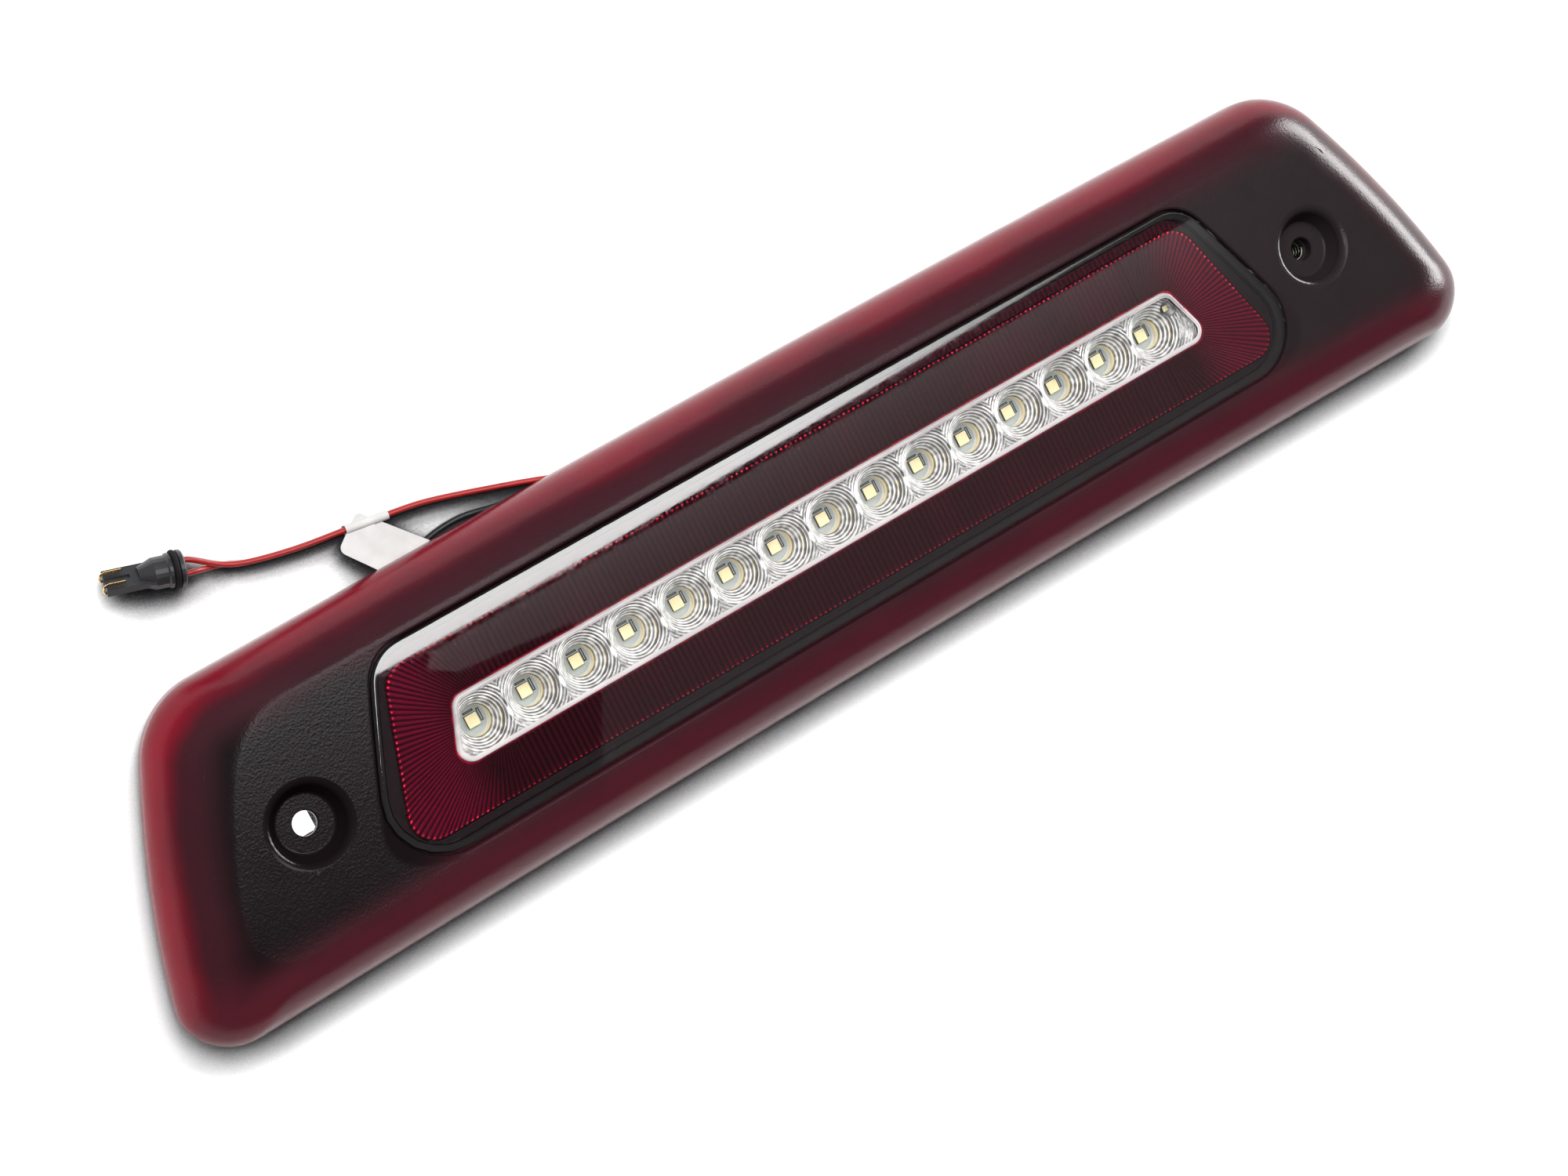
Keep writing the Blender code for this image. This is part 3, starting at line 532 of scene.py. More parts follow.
def store(mesh, title, numbers):
    """Keep one number for each point, for the materials to read."""
    mesh.attributes.new(title, "FLOAT", "POINT").data.foreach_set("value", numbers)


def use(made, node, body="lamp"):
    """Let a mesh stand for a CAD piece: hide the piece and put the mesh on its body."""
    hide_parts(node)
    return carry(made, body)


def carry(made, body="lamp"):
    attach(made, body)
    return made


def loft(name, rings, surface, closed=False, angle=35.0, slots=None):
    """Skin over rings of equal length; slots gives a material index for each band."""
    count = len(rings[0])
    verts = [p for ring in rings for p in ring]
    faces = []
    marks = []
    spans = len(rings) if closed else len(rings) - 1
    for r in range(spans):
        a = r * count
        b = ((r + 1) % len(rings)) * count
        for i in range(count):
            j = (i + 1) % count
            faces.append((a + i, a + j, b + j, b + i))
            marks.append(slots[r] if slots else 0)
    if not closed:
        faces.append(tuple(reversed(range(count))))
        faces.append(tuple(range((len(rings) - 1) * count, len(rings) * count)))
        marks += [slots[0], slots[-1]] if slots else [0, 0]
    return add_mesh(name, verts, faces, surface, marks, angle)


def at_height(outline, z, **steps):
    return [(x, y, z) for x, y in outline.points(**steps)]


def circle(radius, z, x=0.0, y=0.0, count=48):
    turns = [2 * math.pi * i / count for i in range(count)]
    return [(x + radius * math.cos(t), y + radius * math.sin(t), z) for t in turns]


def turned(name, profile, x, y, surface, count=48, closed=False, angle=35.0):
    """Round piece from (radius, height) points."""
    return loft(name, [circle(r, z, x, y, count) for r, z in profile], surface, closed, angle)


def combine(target, tool, operation, angle=35.0):
    """Join a tool to a body or cut it away, and drop the tool."""
    modifier = target.modifiers.new(operation.lower(), "BOOLEAN")
    modifier.operation = operation
    modifier.solver = "EXACT"
    modifier.object = tool
    bpy.context.view_layer.update()
    graph = bpy.context.evaluated_depsgraph_get()
    mesh = bpy.data.meshes.new_from_object(target.evaluated_get(graph))
    target.modifiers.clear()
    target.data = mesh
    bpy.data.objects.remove(tool, do_unlink=True)
    mesh.shade_smooth()
    mesh.set_sharp_from_angle(angle=math.radians(angle))
    return target


def arc(centre_r, centre_z, radius, first, last, steps):
    """Profile points on a round edge, angles in degrees."""
    out = []
    for i in range(steps + 1):
        a = math.radians(first + (last - first) * i / steps)
        out.append((centre_r + radius * math.cos(a), centre_z + radius * math.sin(a)))
    return out


def curve_points(stops, steps):
    """Smooth curve through the stops."""
    ends = [stops[0]] + list(stops) + [stops[-1]]
    path = []
    for i in range(1, len(ends) - 2):
        a, b, c, d = (Vector(ends[i + k]) for k in (-1, 0, 1, 2))
        for s in range(steps):
            t = s / steps
            path.append(0.5 * (2 * b + (c - a) * t + (2 * a - 5 * b + 4 * c - d) * t ** 2
                               + (3 * b - a - 3 * c + d) * t ** 3))
    path.append(Vector(stops[-1]))
    return path


def sweep(name, path, radius, surface, count=14, radii=None, angle=60.0):
    """Round wire along a path of points."""
    rings = []
    for i, point in enumerate(path):
        ahead = (path[min(i + 1, len(path) - 1)] - path[max(i - 1, 0)]).normalized()
        side = ahead.cross(Vector((0, 0, 1)))
        side = side.normalized() if side.length > 1e-6 else Vector((1, 0, 0))
        up = ahead.cross(side)
        r = radii[i] if radii else radius
        turns = [2 * math.pi * k / count for k in range(count)]
        rings.append([tuple(point + r * (math.cos(t) * side + math.sin(t) * up)) for t in turns])
    return loft(name, rings, surface, angle=angle)


# ---------------------------------------------------------------- cover

def blend_ring(first, second, t, z):
    return [(ax + (bx - ax) * t, ay + (by - ay) * t, z)
            for (ax, ay), (bx, by) in zip(first.points(), second.points())]


def roll_off(wall, top_share, steps):
    rim = RIM.inset(wall)
    high = Z_COVER - wall
    rings = []
    for i in range(steps + 1):
        turn = math.pi / 2 * i / steps
        across = math.sin(turn) ** ROLL_POWER
        if across < top_share:
            continue
        down = max(math.cos(turn), 0.0) ** ROLL_POWER
        rings.append(blend_ring(CREST, rim, across, Z_WIDEST + (high - Z_WIDEST) * down))
    return rings


def cover(surface):
    """Hollow shell with a rolled edge, a ledge for the window and two screw recesses."""
    opening = WINDOW.inset(-WINDOW_GAP)
    web = WINDOW.inset(-3.0)
    ledge = WINDOW.inset(LEDGE_WIDTH)
    rings = [at_height(ledge, LEDGE_BOTTOM), at_height(web, LEDGE_BOTTOM),
             at_height(web, Z_COVER - COVER_WALL)]
    rings += roll_off(COVER_WALL, 0.3, 8)
    rings.append(at_height(RIM.inset(COVER_WALL), Z_RIM))
    rings.append(at_height(RIM.inset(0.5), Z_RIM))
    rings.append(at_height(RIM.inset(0.1), Z_RIM + 0.35))
    rings.append(at_height(RIM, Z_RIM + 1.0))
    rings += reversed(roll_off(0.0, 0.0, ROLL_STEPS))
    rings.append(blend_ring(CREST, opening, 0.5, Z_COVER))
    for i in range(6):
        turn = math.pi / 2 * i / 5
        rings.append(at_height(opening.inset(-LIP_R * (1 - math.sin(turn))),
                               Z_COVER - LIP_R * (1 - math.cos(turn))))
    rings.append(at_height(opening, LEDGE_TOP))
    rings.append(at_height(ledge, LEDGE_TOP))
    shell = loft("cover_shell", rings, surface, closed=True)
    shape_cover(shell, surface)
    mesh = shell.data
    places = [(v.co.x / MM, v.co.y / MM) for v in mesh.vertices]
    store(mesh, "rim", [RIM.depth(x, y) for x, y in places])
    store(mesh, "lip", [-WINDOW.depth(x, y) for x, y in places])
    even = shell.modifiers.new("even_normals", "WEIGHTED_NORMAL")
    even.keep_sharp = True
    return use(shell, "outer_cover")


def shape_cover(shell, surface):
    """Add the recess cups, boss and screw posts, then cut the recesses and holes."""
    def tool(operation, profile, x, y=RECESS_Y, count=48):
        combine(shell, turned("tool", profile, x, y, surface, count), operation)

    floor_low = RECESS_FLOOR - COVER_WALL
    sides = (-RECESS_X, RECESS_X)
    for x in sides:
        tool("UNION", [(RECESS_FLOOR_R + 2.0, floor_low), (12.2, Z_COVER - 1.0)], x)
    tool("UNION", [(6.6, Z_FLANGE + 2.9), (6.6, floor_low + 1.0)], RECESS_X)
    for x, y in HOUSING_SCREWS:
        tool("UNION", [(3.4, Z_FLANGE + 2.7), (3.4, Z_COVER - 2.0)], x, y, 24)
    inner = RECESS_FLOOR_R - RECESS_FILLET
    outer = RECESS_LIP_R + 0.4
    hollow = [(inner, RECESS_FLOOR)]
    hollow += arc(inner, RECESS_FLOOR + RECESS_FILLET, RECESS_FILLET, -75, -6, 5)
    hollow += arc(outer, Z_COVER - RECESS_ROUND, RECESS_ROUND, 176, 92, 10)
    hollow += [(outer, Z_COVER + 0.04), (outer, Z_COVER + 2.0)]
    wide = SCREW_HOLE_R + HOLE_CHAMFER
    hole = [(SCREW_HOLE_R, Z_FLANGE), (SCREW_HOLE_R, RECESS_FLOOR - HOLE_CHAMFER),
            (wide, RECESS_FLOOR + 0.02), (wide, RECESS_FLOOR + 1.0)]
    for x in sides:
        tool("DIFFERENCE", hollow, x, count=96)
        tool("DIFFERENCE", hole, x, count=64)
    tool("DIFFERENCE", [(INSERT_R + GAP, Z_FLANGE), (INSERT_R + GAP, INSERT_TOP + GAP)], RECESS_X)
    for x, y in HOUSING_SCREWS:
        tool("DIFFERENCE", [(1.9, Z_FLANGE), (1.9, Z_FLANGE + 11.5)], x, y, 16)


# ---------------------------------------------------------------- window and lenses

def window_lens(surface):
    """Flat pane with a rounded upper edge."""
    rings = [at_height(WINDOW.inset(0.3), Z_WINDOW - 2.0), at_height(WINDOW, Z_WINDOW - 1.7)]
    for i in range(8):
        turn = math.pi / 2 * i / 7
        rings.append(at_height(WINDOW.inset(WINDOW_EDGE * (1 - math.cos(turn))),
                               Z_WINDOW - WINDOW_EDGE * (1 - math.sin(turn))))
    rings.append(at_height(WINDOW.inset(WINDOW_EDGE + 0.15), Z_WINDOW))
    return use(loft("window_glass", rings, surface, angle=60), "window_lens")


def resample(points, count):
    """Evenly spaced points along an open polyline."""
    lengths = [0.0]
    for a, b in zip(points, points[1:]):
        lengths.append(lengths[-1] + math.dist(a, b))
    out = []
    seg = 0
    for k in range(count):
        want = lengths[-1] * k / (count - 1)
        while seg < len(points) - 2 and lengths[seg + 1] < want:
            seg += 1
        span = lengths[seg + 1] - lengths[seg]
        t = (want - lengths[seg]) / span if span else 0.0
        a, b = points[seg], points[seg + 1]
        out.append((a[0] + (b[0] - a[0]) * t, a[1] + (b[1] - a[1]) * t))
    return out


def end_path(outline, x_from):
    """Right-hand end of an outline, from x_from on the bottom edge round to the top edge."""
    points = outline.points(corner_steps=20, end_steps=24, edge_steps=2)
    half = [p for p in points[:len(points) // 2 + 1] if p[0] > x_from]
    return [(x_from, outline.bottom)] + half + [(x_from, outline.top)]


def flute_lines(inner, outer):
    """Matching points on the inner and the outer edge, one pair for each flute boundary."""
    straight = STRAIGHT_FLUTES * FLUTE_PITCH
    path = end_path(outer, straight)
    reach = math.fsum(math.dist(a, b) for a, b in zip(path, path[1:]))
    count = round(reach / FLUTE_PITCH) + 1
    right = list(zip(resample(end_path(inner, straight), count), resample(path, count)))
    top = [straight - FLUTE_PITCH * k for k in range(1, 2 * STRAIGHT_FLUTES)]
    pairs = right + [((x, inner.top), (x, outer.top)) for x in top]
    pairs += [((-a[0], a[1]), (-b[0], b[1])) for a, b in reversed(right)]
    return pairs + [((-x, inner.bottom), (-x, outer.bottom)) for x in top]


def between(a, b, share):
    return (a[0] + (b[0] - a[0]) * share, a[1] + (b[1] - a[1]) * share)


def fluted_lens(red, glint):
    """Red lens whose ribs run across it and fan out round both ends."""
    pairs = flute_lines(STRIP.inset(-GAP), FLUTES)
    verts, ribs, outward = [], [], []
    for index, (a, b) in enumerate(pairs):
        a2, b2 = pairs[(index + 1) % len(pairs)]
        for c in range(FLUTE_COLUMNS):
            s = c / FLUTE_COLUMNS
            near, far = between(a, a2, s), between(b, b2, s)
            swell = math.sin(math.pi * s)
            for share in FLUTE_SHARES:
                wide = math.dist(a, a2) * (1 - share) + math.dist(b, b2) * share
                step = {0.0: 0.3, 1.0: 0.7}.get(share, 0.0)
                depth = 0.13 * wide * (1 - swell) + step
                verts.append((*between(near, far, share), FLUTE_TOP - depth))
                ribs.append(swell)
                outward.append(share)
            verts += [(*near, FLUTE_BOTTOM), (*far, FLUTE_BOTTOM + 1.5), (*far, FLUTE_BOTTOM)]
            ribs += [0.0, 0.0, 0.0]
            outward += [0.0, 1.0, 1.0]
    total = len(pairs) * FLUTE_COLUMNS
    top = len(FLUTE_SHARES)
    chain = (*range(top), top + 1, top + 2, top, 0)
    row = top + 3
    middle = (FLUTE_COLUMNS // 2 - 1, FLUTE_COLUMNS // 2)
    faces, slots = [], []
    for i in range(total):
        j = (i + 1) % total
        for k, m in zip(chain, chain[1:]):
            faces.append((i * row + k, i * row + m, j * row + m, j * row + k))
            # Painted highlight: a band along the inner edge and a spot near the outer end of each flute take the
            # glint material.
            bright = k == 0 or k == top - 3 and i % FLUTE_COLUMNS in middle
            slots.append(1 if bright else 0)
    lens = add_mesh("fluted_lens", verts, faces, [red, glint], slots, 40)
    store(lens.data, "rib", ribs)
    store(lens.data, "outward", outward)
    return use(lens, "flute_lens")


def strip_lens(clear, edge):
    """Clear cover strip with a pale grey, stepped rim that carries a painted glow."""
    steps = {"corner_steps": 10, "end_steps": 8, "edge_steps": 40}
    rings = [at_height(STRIP.inset(d - STRIP_GROWTH), z, **steps) for d, z in STRIP_PROFILE]
    slots = [1] * (len(rings) - 2) + [0]
    lens = loft("strip_cover", rings, [clear, edge], angle=50, slots=slots)
    lens.data.polygons[-2].material_index = 0
    lens.data.polygons[-1].material_index = 0
    return use(lens, "strip_lens")


# ---------------------------------------------------------------- reflector, LEDs and board

def led_x(index):
    return LED_ROW_X + LED_PITCH * (index - (LED_COUNT - 1) / 2)


def ray_to_edge(polygon, cx, cy, angle):
    """Distance from a point to a closed polygon along an angle."""
    dx, dy = math.cos(angle), math.sin(angle)
    best = 1e9
    for (ax, ay), (bx, by) in zip(polygon, polygon[1:] + polygon[:1]):
        ex, ey = bx - ax, by - ay
        det = ex * dy - ey * dx
        if abs(det) < 1e-12:
            continue
        t = (ex * (ay - cy) - ey * (ax - cx)) / det
        u = (dx * (ay - cy) - dy * (ax - cx)) / det
        if t > 0 and -1e-9 <= u <= 1 + 1e-9:
            best = min(best, t)
    return best


def cup_height(r):
    """Stepped bell of a reflector cup, and where in its step a radius lies."""
    for (r0, z0), (r1, z1) in zip(CUP_STEPS, CUP_STEPS[1:]):
        if r <= r1:
            t = (r - r0) / (r1 - r0)
            return z0 + (z1 - z0) * t + 0.2 * math.sin(2 * math.pi * t), t
    t = (r - CUP_STEPS[-1][0]) / RIPPLE
    return CUP_STEPS[-1][1] + 0.1 * math.sin(2 * math.pi * t), t


def reflector_rings():
    """Radii of a cell's rings: eight to a step, then evenly out to its corners."""
    radii = [CUP_STEPS[0][0]]
    for (r0, _), (r1, _) in zip(CUP_STEPS, CUP_STEPS[1:]):
        radii += [r0 + (r1 - r0) * t / 8 for t in range(1, 9)]
    r = radii[-1]
    while r < CELL_REACH:
        r += 0.18
        radii.append(r)
    return radii


def groove_tone(r, t, angle, x, y, seed):
    """Painted shade and light: 0 in the grooves, 1 on the crests, broken up by noise; one groove is kept dark, a
    painted shade, on the side with the painted reflection of the LED face.
    """
    if 6.7 < r < 7.05 and math.cos(angle - PAINTED_REFLECTION_SIDE) > 0.75:
        return 0.0
    ridge = (0.5 - 0.5 * math.cos(2 * math.pi * t)) ** 0.8
    broken = noise.noise(Vector((math.cos(angle) * 4.0, math.sin(angle) * 4.0, r * 0.9 + seed)))
    if r > CUP_STEPS[-1][0]:
        broken += 0.9 * noise.noise(Vector((x * 1.8, y * 1.8, 5.0))) - 0.25
    return min(max(ridge + 0.55 * broken, 0.0), 1.15)


def drop_tone(x, y, tone):
    """Painted reflection and shade on the line between two neighbouring cups: a white drop, a dark drop and a muted
    patch round them; gives tone and rise.
    """
    lower = math.hypot(x / DROP_HALF_WIDE, (y + 1.8) / 1.5)
    upper = math.hypot(x / (DROP_HALF_WIDE * 0.8), (y - 1.1) / 1.1)
    if lower < 1.0:
        return 2.0, 0.3 * (1 - lower ** 2)
    if upper < 1.0:
        return 0.0, 0.2 * (1 - upper ** 2)
    if math.hypot(x, y) < 3.2:
        return 0.15 + 0.55 * tone, 0.0
    return tone, 0.0


def cell_angles(index, outline):
    """Angles of a cell's spokes, with one through each of its corners."""
    cx = led_x(index)
    borders = (cx - LED_PITCH / 2, cx + LED_PITCH / 2)
    corners = [math.atan2(y - LED_ROW_Y, x - cx) for x in borders for y in (outline.top, outline.bottom)]
    return sorted([2 * math.pi * k / 144 - math.pi for k in range(144)] + corners)


def cell_point(index, k, r, limit, angle):
    """Point on a cell's ring k along a spoke, and its tone."""
    cx, cy = led_x(index), LED_ROW_Y
    dx, dy = math.cos(angle), math.sin(angle)
    wobble = noise.noise(Vector((dx * 4.2 + index * 5.0, dy * 4.2, k * 0.3)))
    share = min(max((r - 4.6) / 1.2, 0.0), 1.0)
    near = min(r + 0.16 * share * wobble, limit)
    x, y = cx + dx * near, cy + dy * near
    z, t = cup_height(near)
    if near > 7.8:
        share = min((near - 7.8) / 1.0, 1.0)
        z += share * 0.16 * noise.noise(Vector((x * 1.5, y * 1.5, 3.0)))
        z += share * 0.07 * noise.noise(Vector((x * 3.4, y * 3.4, 9.0)))
    tone = groove_tone(near, t, angle, x, y, index * 3.0)
    for side in (-1, 1):
        border = cx + side * LED_PITCH / 2
        if 0 <= index + side < LED_COUNT and abs(x - border) < 1.0:
            tone, rise = drop_tone(x - border, y - cy, tone)
            z += rise
    return (x, y, z), tone


def reflector(chrome, painted_phosphor_reflection):
    """Chromed bar: one stepped bell for each LED, rippled corners between them."""
    outline = STRIP.inset(0.25)
    edge = outline.points(corner_steps=10, end_steps=6, edge_steps=4)
    low = Z_BOARD_TOP + GAP
    radii = reflector_rings()
    wall = ((CUP_BOTTOM_R, low, 0.9), *CUP_WALL)
    row = len(radii) + len(wall) + 1
    verts, faces, slots, tones = [], [], [], []
    for index in range(LED_COUNT):
        cx, cy = led_x(index), LED_ROW_Y
        angles = cell_angles(index, outline)
        start = len(verts)
        open_side = []
        for a in angles:
            dx, dy = math.cos(a), math.sin(a)
            reach = ray_to_edge(edge, cx, cy, a)
            toward = 1 if dx > 0 else -1
            shared = abs(dx) > 1e-9 and 0 <= index + toward < LED_COUNT
            side = LED_PITCH / 2 / abs(dx) if shared else 1e9
            limit = min(reach, side)
            open_side.append(side <= reach + 1e-6)
            for r, z, tone in wall:
                verts.append((cx + dx * r, cy + dy * r, z))
                tones.append(tone)
            for k, r in enumerate(radii):
                place, tone = cell_point(index, k, r, limit, a)
                verts.append(place)
                tones.append(tone)
            verts.append((cx + dx * limit, cy + dy * limit, low))
            tones.append(0.5)
        for i in range(len(angles)):
            j = (i + 1) % len(angles)
            facing = math.cos(angles[i] - PAINTED_REFLECTION_SIDE)
            a, b = start + i * row, start + j * row
            for k in range(row):
                m = (k + 1) % row
                if k == row - 2 and open_side[i] and open_side[j]:
                    continue
                faces.append((a + k, a + m, b + m, b + k))
                ring = radii[min(max(k - len(wall), 0), len(radii) - 1)]
                # Painted reflection: the upper inner wall rings and a short arc of one step on one side take a
                # yellow-tinted chrome that stands in for the LED face reflected there.
                reflection_fleck = k < row - 2 and facing > 0.93 and 6.3 < ring < 6.7
                slots.append(1 if k in (1, 2) or reflection_fleck else 0)
    bar = add_mesh("reflector_bar", verts, faces, [chrome, painted_phosphor_reflection], slots, 30)
    store(bar.data, "tone", tones)
    finish_mesh(bar.data, 50, merge=0.004)
    combine(bar, turned("pocket", POCKET, *CORNER_LED, chrome, 32), "DIFFERENCE", 50)
    return use(bar, "reflector")


def led_package(node, x, y, size, low, high, body, lens):
    """Square package: a chamfered body with a slightly sunk lens in its top."""
    rings = []
    half = size / 2
    profile = [(0.0, low), (0.0, high - 0.15), (0.06, high), (0.12, high), (0.16, high - 0.05)]
    for inset, z in profile:
        h = half - inset
        ring = []
        for qx, qy, turn in ((1, 1, 0), (-1, 1, 1), (-1, -1, 2), (1, -1, 3)):
            for k in range(4):
                a = math.pi / 2 * (turn + k / 3)
                ring.append((x + qx * (h - LED_CORNER_R) + LED_CORNER_R * math.cos(a),
                             y + qy * (h - LED_CORNER_R) + LED_CORNER_R * math.sin(a), z))
        rings.append(ring)
    made = loft(node + "_body", rings, [body, lens], slots=[0, 0, 0, 1], angle=30)
    return use(made, node)


def board_marks(dark):
    """Two dark outlines on the board beside each white LED."""
    low = Z_BOARD_TOP + 0.01
    high = low + 0.25
    wall = 0.24
    for index in range(LED_COUNT):
        cx, cy = led_x(index), LED_ROW_Y
        verts, faces = [], []
        for (x0, y0), (x1, y1) in (((2.3, -1.4), (3.15, 2.3)), ((-1.5, 2.2), (1.6, 2.8))):
            base = len(verts)
            for grow, z in ((0.0, low), (0.0, high), (wall, high), (wall, low)):
                verts += [(cx + px, cy + py, z) for px, py in
                          ((x0 + grow, y0 + grow), (x1 - grow, y0 + grow),
                           (x1 - grow, y1 - grow), (x0 + grow, y1 - grow))]
            for r in range(4):
                for i in range(4):
                    a, b = base + r * 4, base + (r + 1) % 4 * 4
                    j = (i + 1) % 4
                    faces.append((a + i, a + j, b + j, b + i))
        carry(add_mesh("board_mark_%02d" % (index + 1), verts, faces, dark))


# ---------------------------------------------------------------- insert, leads, label

def screw_insert(metal, thread):
    """Threaded metal bush: a tube with a helical thread inside."""
    steps = 40
    turns = int((INSERT_TOP - INSERT_LOW - 1.0) / THREAD_PITCH)
    tube = [(INSERT_R, INSERT_LOW), (INSERT_R, INSERT_TOP - 0.3), (INSERT_R - 0.3, INSERT_TOP),
            (3.3, INSERT_TOP), (3.1, INSERT_TOP - 0.2), (3.1, INSERT_LOW)]
    shell = turned("insert_shell", tube, RECESS_X, RECESS_Y, metal, 48, closed=True)
    use(shell, "screw_insert")
    path = []
    for i in range(turns * steps + 1):
        a = 2 * math.pi * i / steps
        path.append(Vector((RECESS_X + THREAD_R * math.cos(a), RECESS_Y + THREAD_R * math.sin(a),
                            INSERT_LOW + 0.7 + THREAD_PITCH * i / steps)))
    carry(sweep("insert_thread", path, 0.42, thread, count=10))


def plug_axes():
    """Directions out along the plug and across it."""
    out = Vector((math.cos(math.radians(PLUG_TURN)), math.sin(math.radians(PLUG_TURN)), 0.0))
    return out, Vector((out.y, -out.x, 0.0))


def wire(node, stops, steps, surface, slot, bodies, start=None, end=None):
    """One wire, on the first body; given a start it is only set in place, on no body."""
    made = sweep(node + "_wire", curve_points(stops, steps), WIRE_R, surface, 16)
    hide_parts(node)
    if start is None:
        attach(made, bodies[0])
    else:
        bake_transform(made)


def inner_wire(node, stops, surface, slot):
    """End of a wire inside the case, run from the grommet down to the board."""
    x = PIVOT[0] * MM
    wire(node, stops, 8, surface, slot, ("lamp", "lead"), (x, 23.0 * MM, 0), (x, 26.4 * MM, 0))


def wires(red, black):
    """Two red wires to the plug, the black wire's tail, and their ends inside the case."""
    out, across = plug_axes()
    entry = Vector((*PLUG_PIVOT, PLUG_R + 0.3)) - out * 1.4
    bend = (tuple((entry - out * 7.0) * MM), tuple((entry + out) * MM))
    px, py = PIVOT
    for node, z, spread in (("lead_red_1", WIRE_HIGH_Z, PLUG_SPREAD),
                            ("lead_red_2", WIRE_LOW_Z, -PLUG_SPREAD)):
        stops = [(x, y, z) for x, y in LEAD_PATH]
        stops += [tuple(entry + across * spread + out * reach) for reach in (0.0, 3.4)]
        wire(node, stops, 10, red, "wire_red", ("lead", "plug"), *bend)
        x = px + 1.2 - spread * 1.1
        inner_wire("inner_" + node, [(px, py + 0.2, z), (px, 23.0, z), (px, 18.0, z), (x, 13.5, z + 1.9),
                                     (x, 10.0, BOARD_LOW - 4.2), (x, 9.0, BOARD_LOW)], red, "wire_red")
    z = WIRE_LOW_Z
    wire("lead_black", [(x, y, z) for x, y in BLACK_PATH], 10, black, "wire_black", ("lead",))
    x = px - 2.0
    inner_wire("inner_lead_black", [(x, py + 0.2, z), (x, 23.0, z), (x, 18.0, z), (x, 14.0, z + 1.4),
                                    (x - 3.5, 10.0, BOARD_LOW - 4.2), (x - 4.5, 9.0, BOARD_LOW)],
               black, "wire_black")


def rounded_box(length, width, radius, steps=8):
    """Outline of a rectangle with round corners."""
    points = []
    for corner in range(4):
        cx = (length / 2 - radius) * (1 if corner in (0, 3) else -1)
        cy = (width / 2 - radius) * (1 if corner in (0, 1) else -1)
        for i in range(steps + 1):
            turn = math.pi / 2 * (corner + i / steps)
            points.append((cx + radius * math.cos(turn), cy + radius * math.sin(turn)))
    return points


def placed(made, x, y, turn):
    """Turn a label piece about the upright axis and set it down."""
    turned_by = Matrix.Rotation(math.radians(turn), 4, "Z")
    made.data.transform(Matrix.Translation(Vector((x, y, 0.0)) * MM) @ turned_by)
    return made


def label(paper):
    """Blank label: a collar wrapped round both wires and a flag in two stuck layers."""
    half = LABEL_WIDE / 2

    def section(grow):
        ring = []
        for k in range(36):
            a = 2 * math.pi * k / 36
            y = (WIRE_R + 0.32 + grow) * math.cos(a)
            z = (WIRE_R + 0.3 + grow) * math.sin(a) + (0.95 if math.sin(a) >= 0 else -0.95)
            ring.append((y, z + (WIRE_LOW_Z + WIRE_HIGH_Z) / 2))
        return ring

    outer, inner = section(0.22), section(0.0)
    rings = [[(x, y, z) for y, z in ring]
             for x, ring in ((-half, outer), (half, outer), (half, inner), (-half, inner))]
    collar = placed(loft("label_collar", rings, paper, closed=True, angle=50), *LABEL_CENTRE, LABEL_TURN)
    use(collar, "wire_label", "lead")
    x, y = FLAG_CENTRE
    flag = flag_sheet("label_flag", paper, 24.0, 10.8, 2.0, 3.75)
    under = flag_sheet("label_under_layer", paper, 23.0, 10.2, 1.6, 3.35)
    carry(placed(flag, x, y, FLAG_TURN), "lead")
    carry(placed(under, x + 1.6, y + 1.4, FLAG_TURN + 4), "lead")


def flag_sheet(name, paper, length, width, radius, z):
    """Thin sheet with round corners, bowed a little across its width."""
    outline = rounded_box(length, width, radius)
    shares = (1.0, 0.985, 0.9, 0.75, 0.55, 0.3, 0.1)

    def ring(share, side):
        out = []
        for x, y in outline:
            x, y = x * share, y * share
            bow = 0.7 * (y / width) ** 2 - 0.25 * (x / length) ** 2
            out.append((x, y, z + side * PAPER_THICK / 2 + bow))
        return out

    rings = [ring(s, -1) for s in reversed(shares)] + [ring(s, 1) for s in shares]
    return loft(name, rings, paper, angle=40)


# ---------------------------------------------------------------- studio

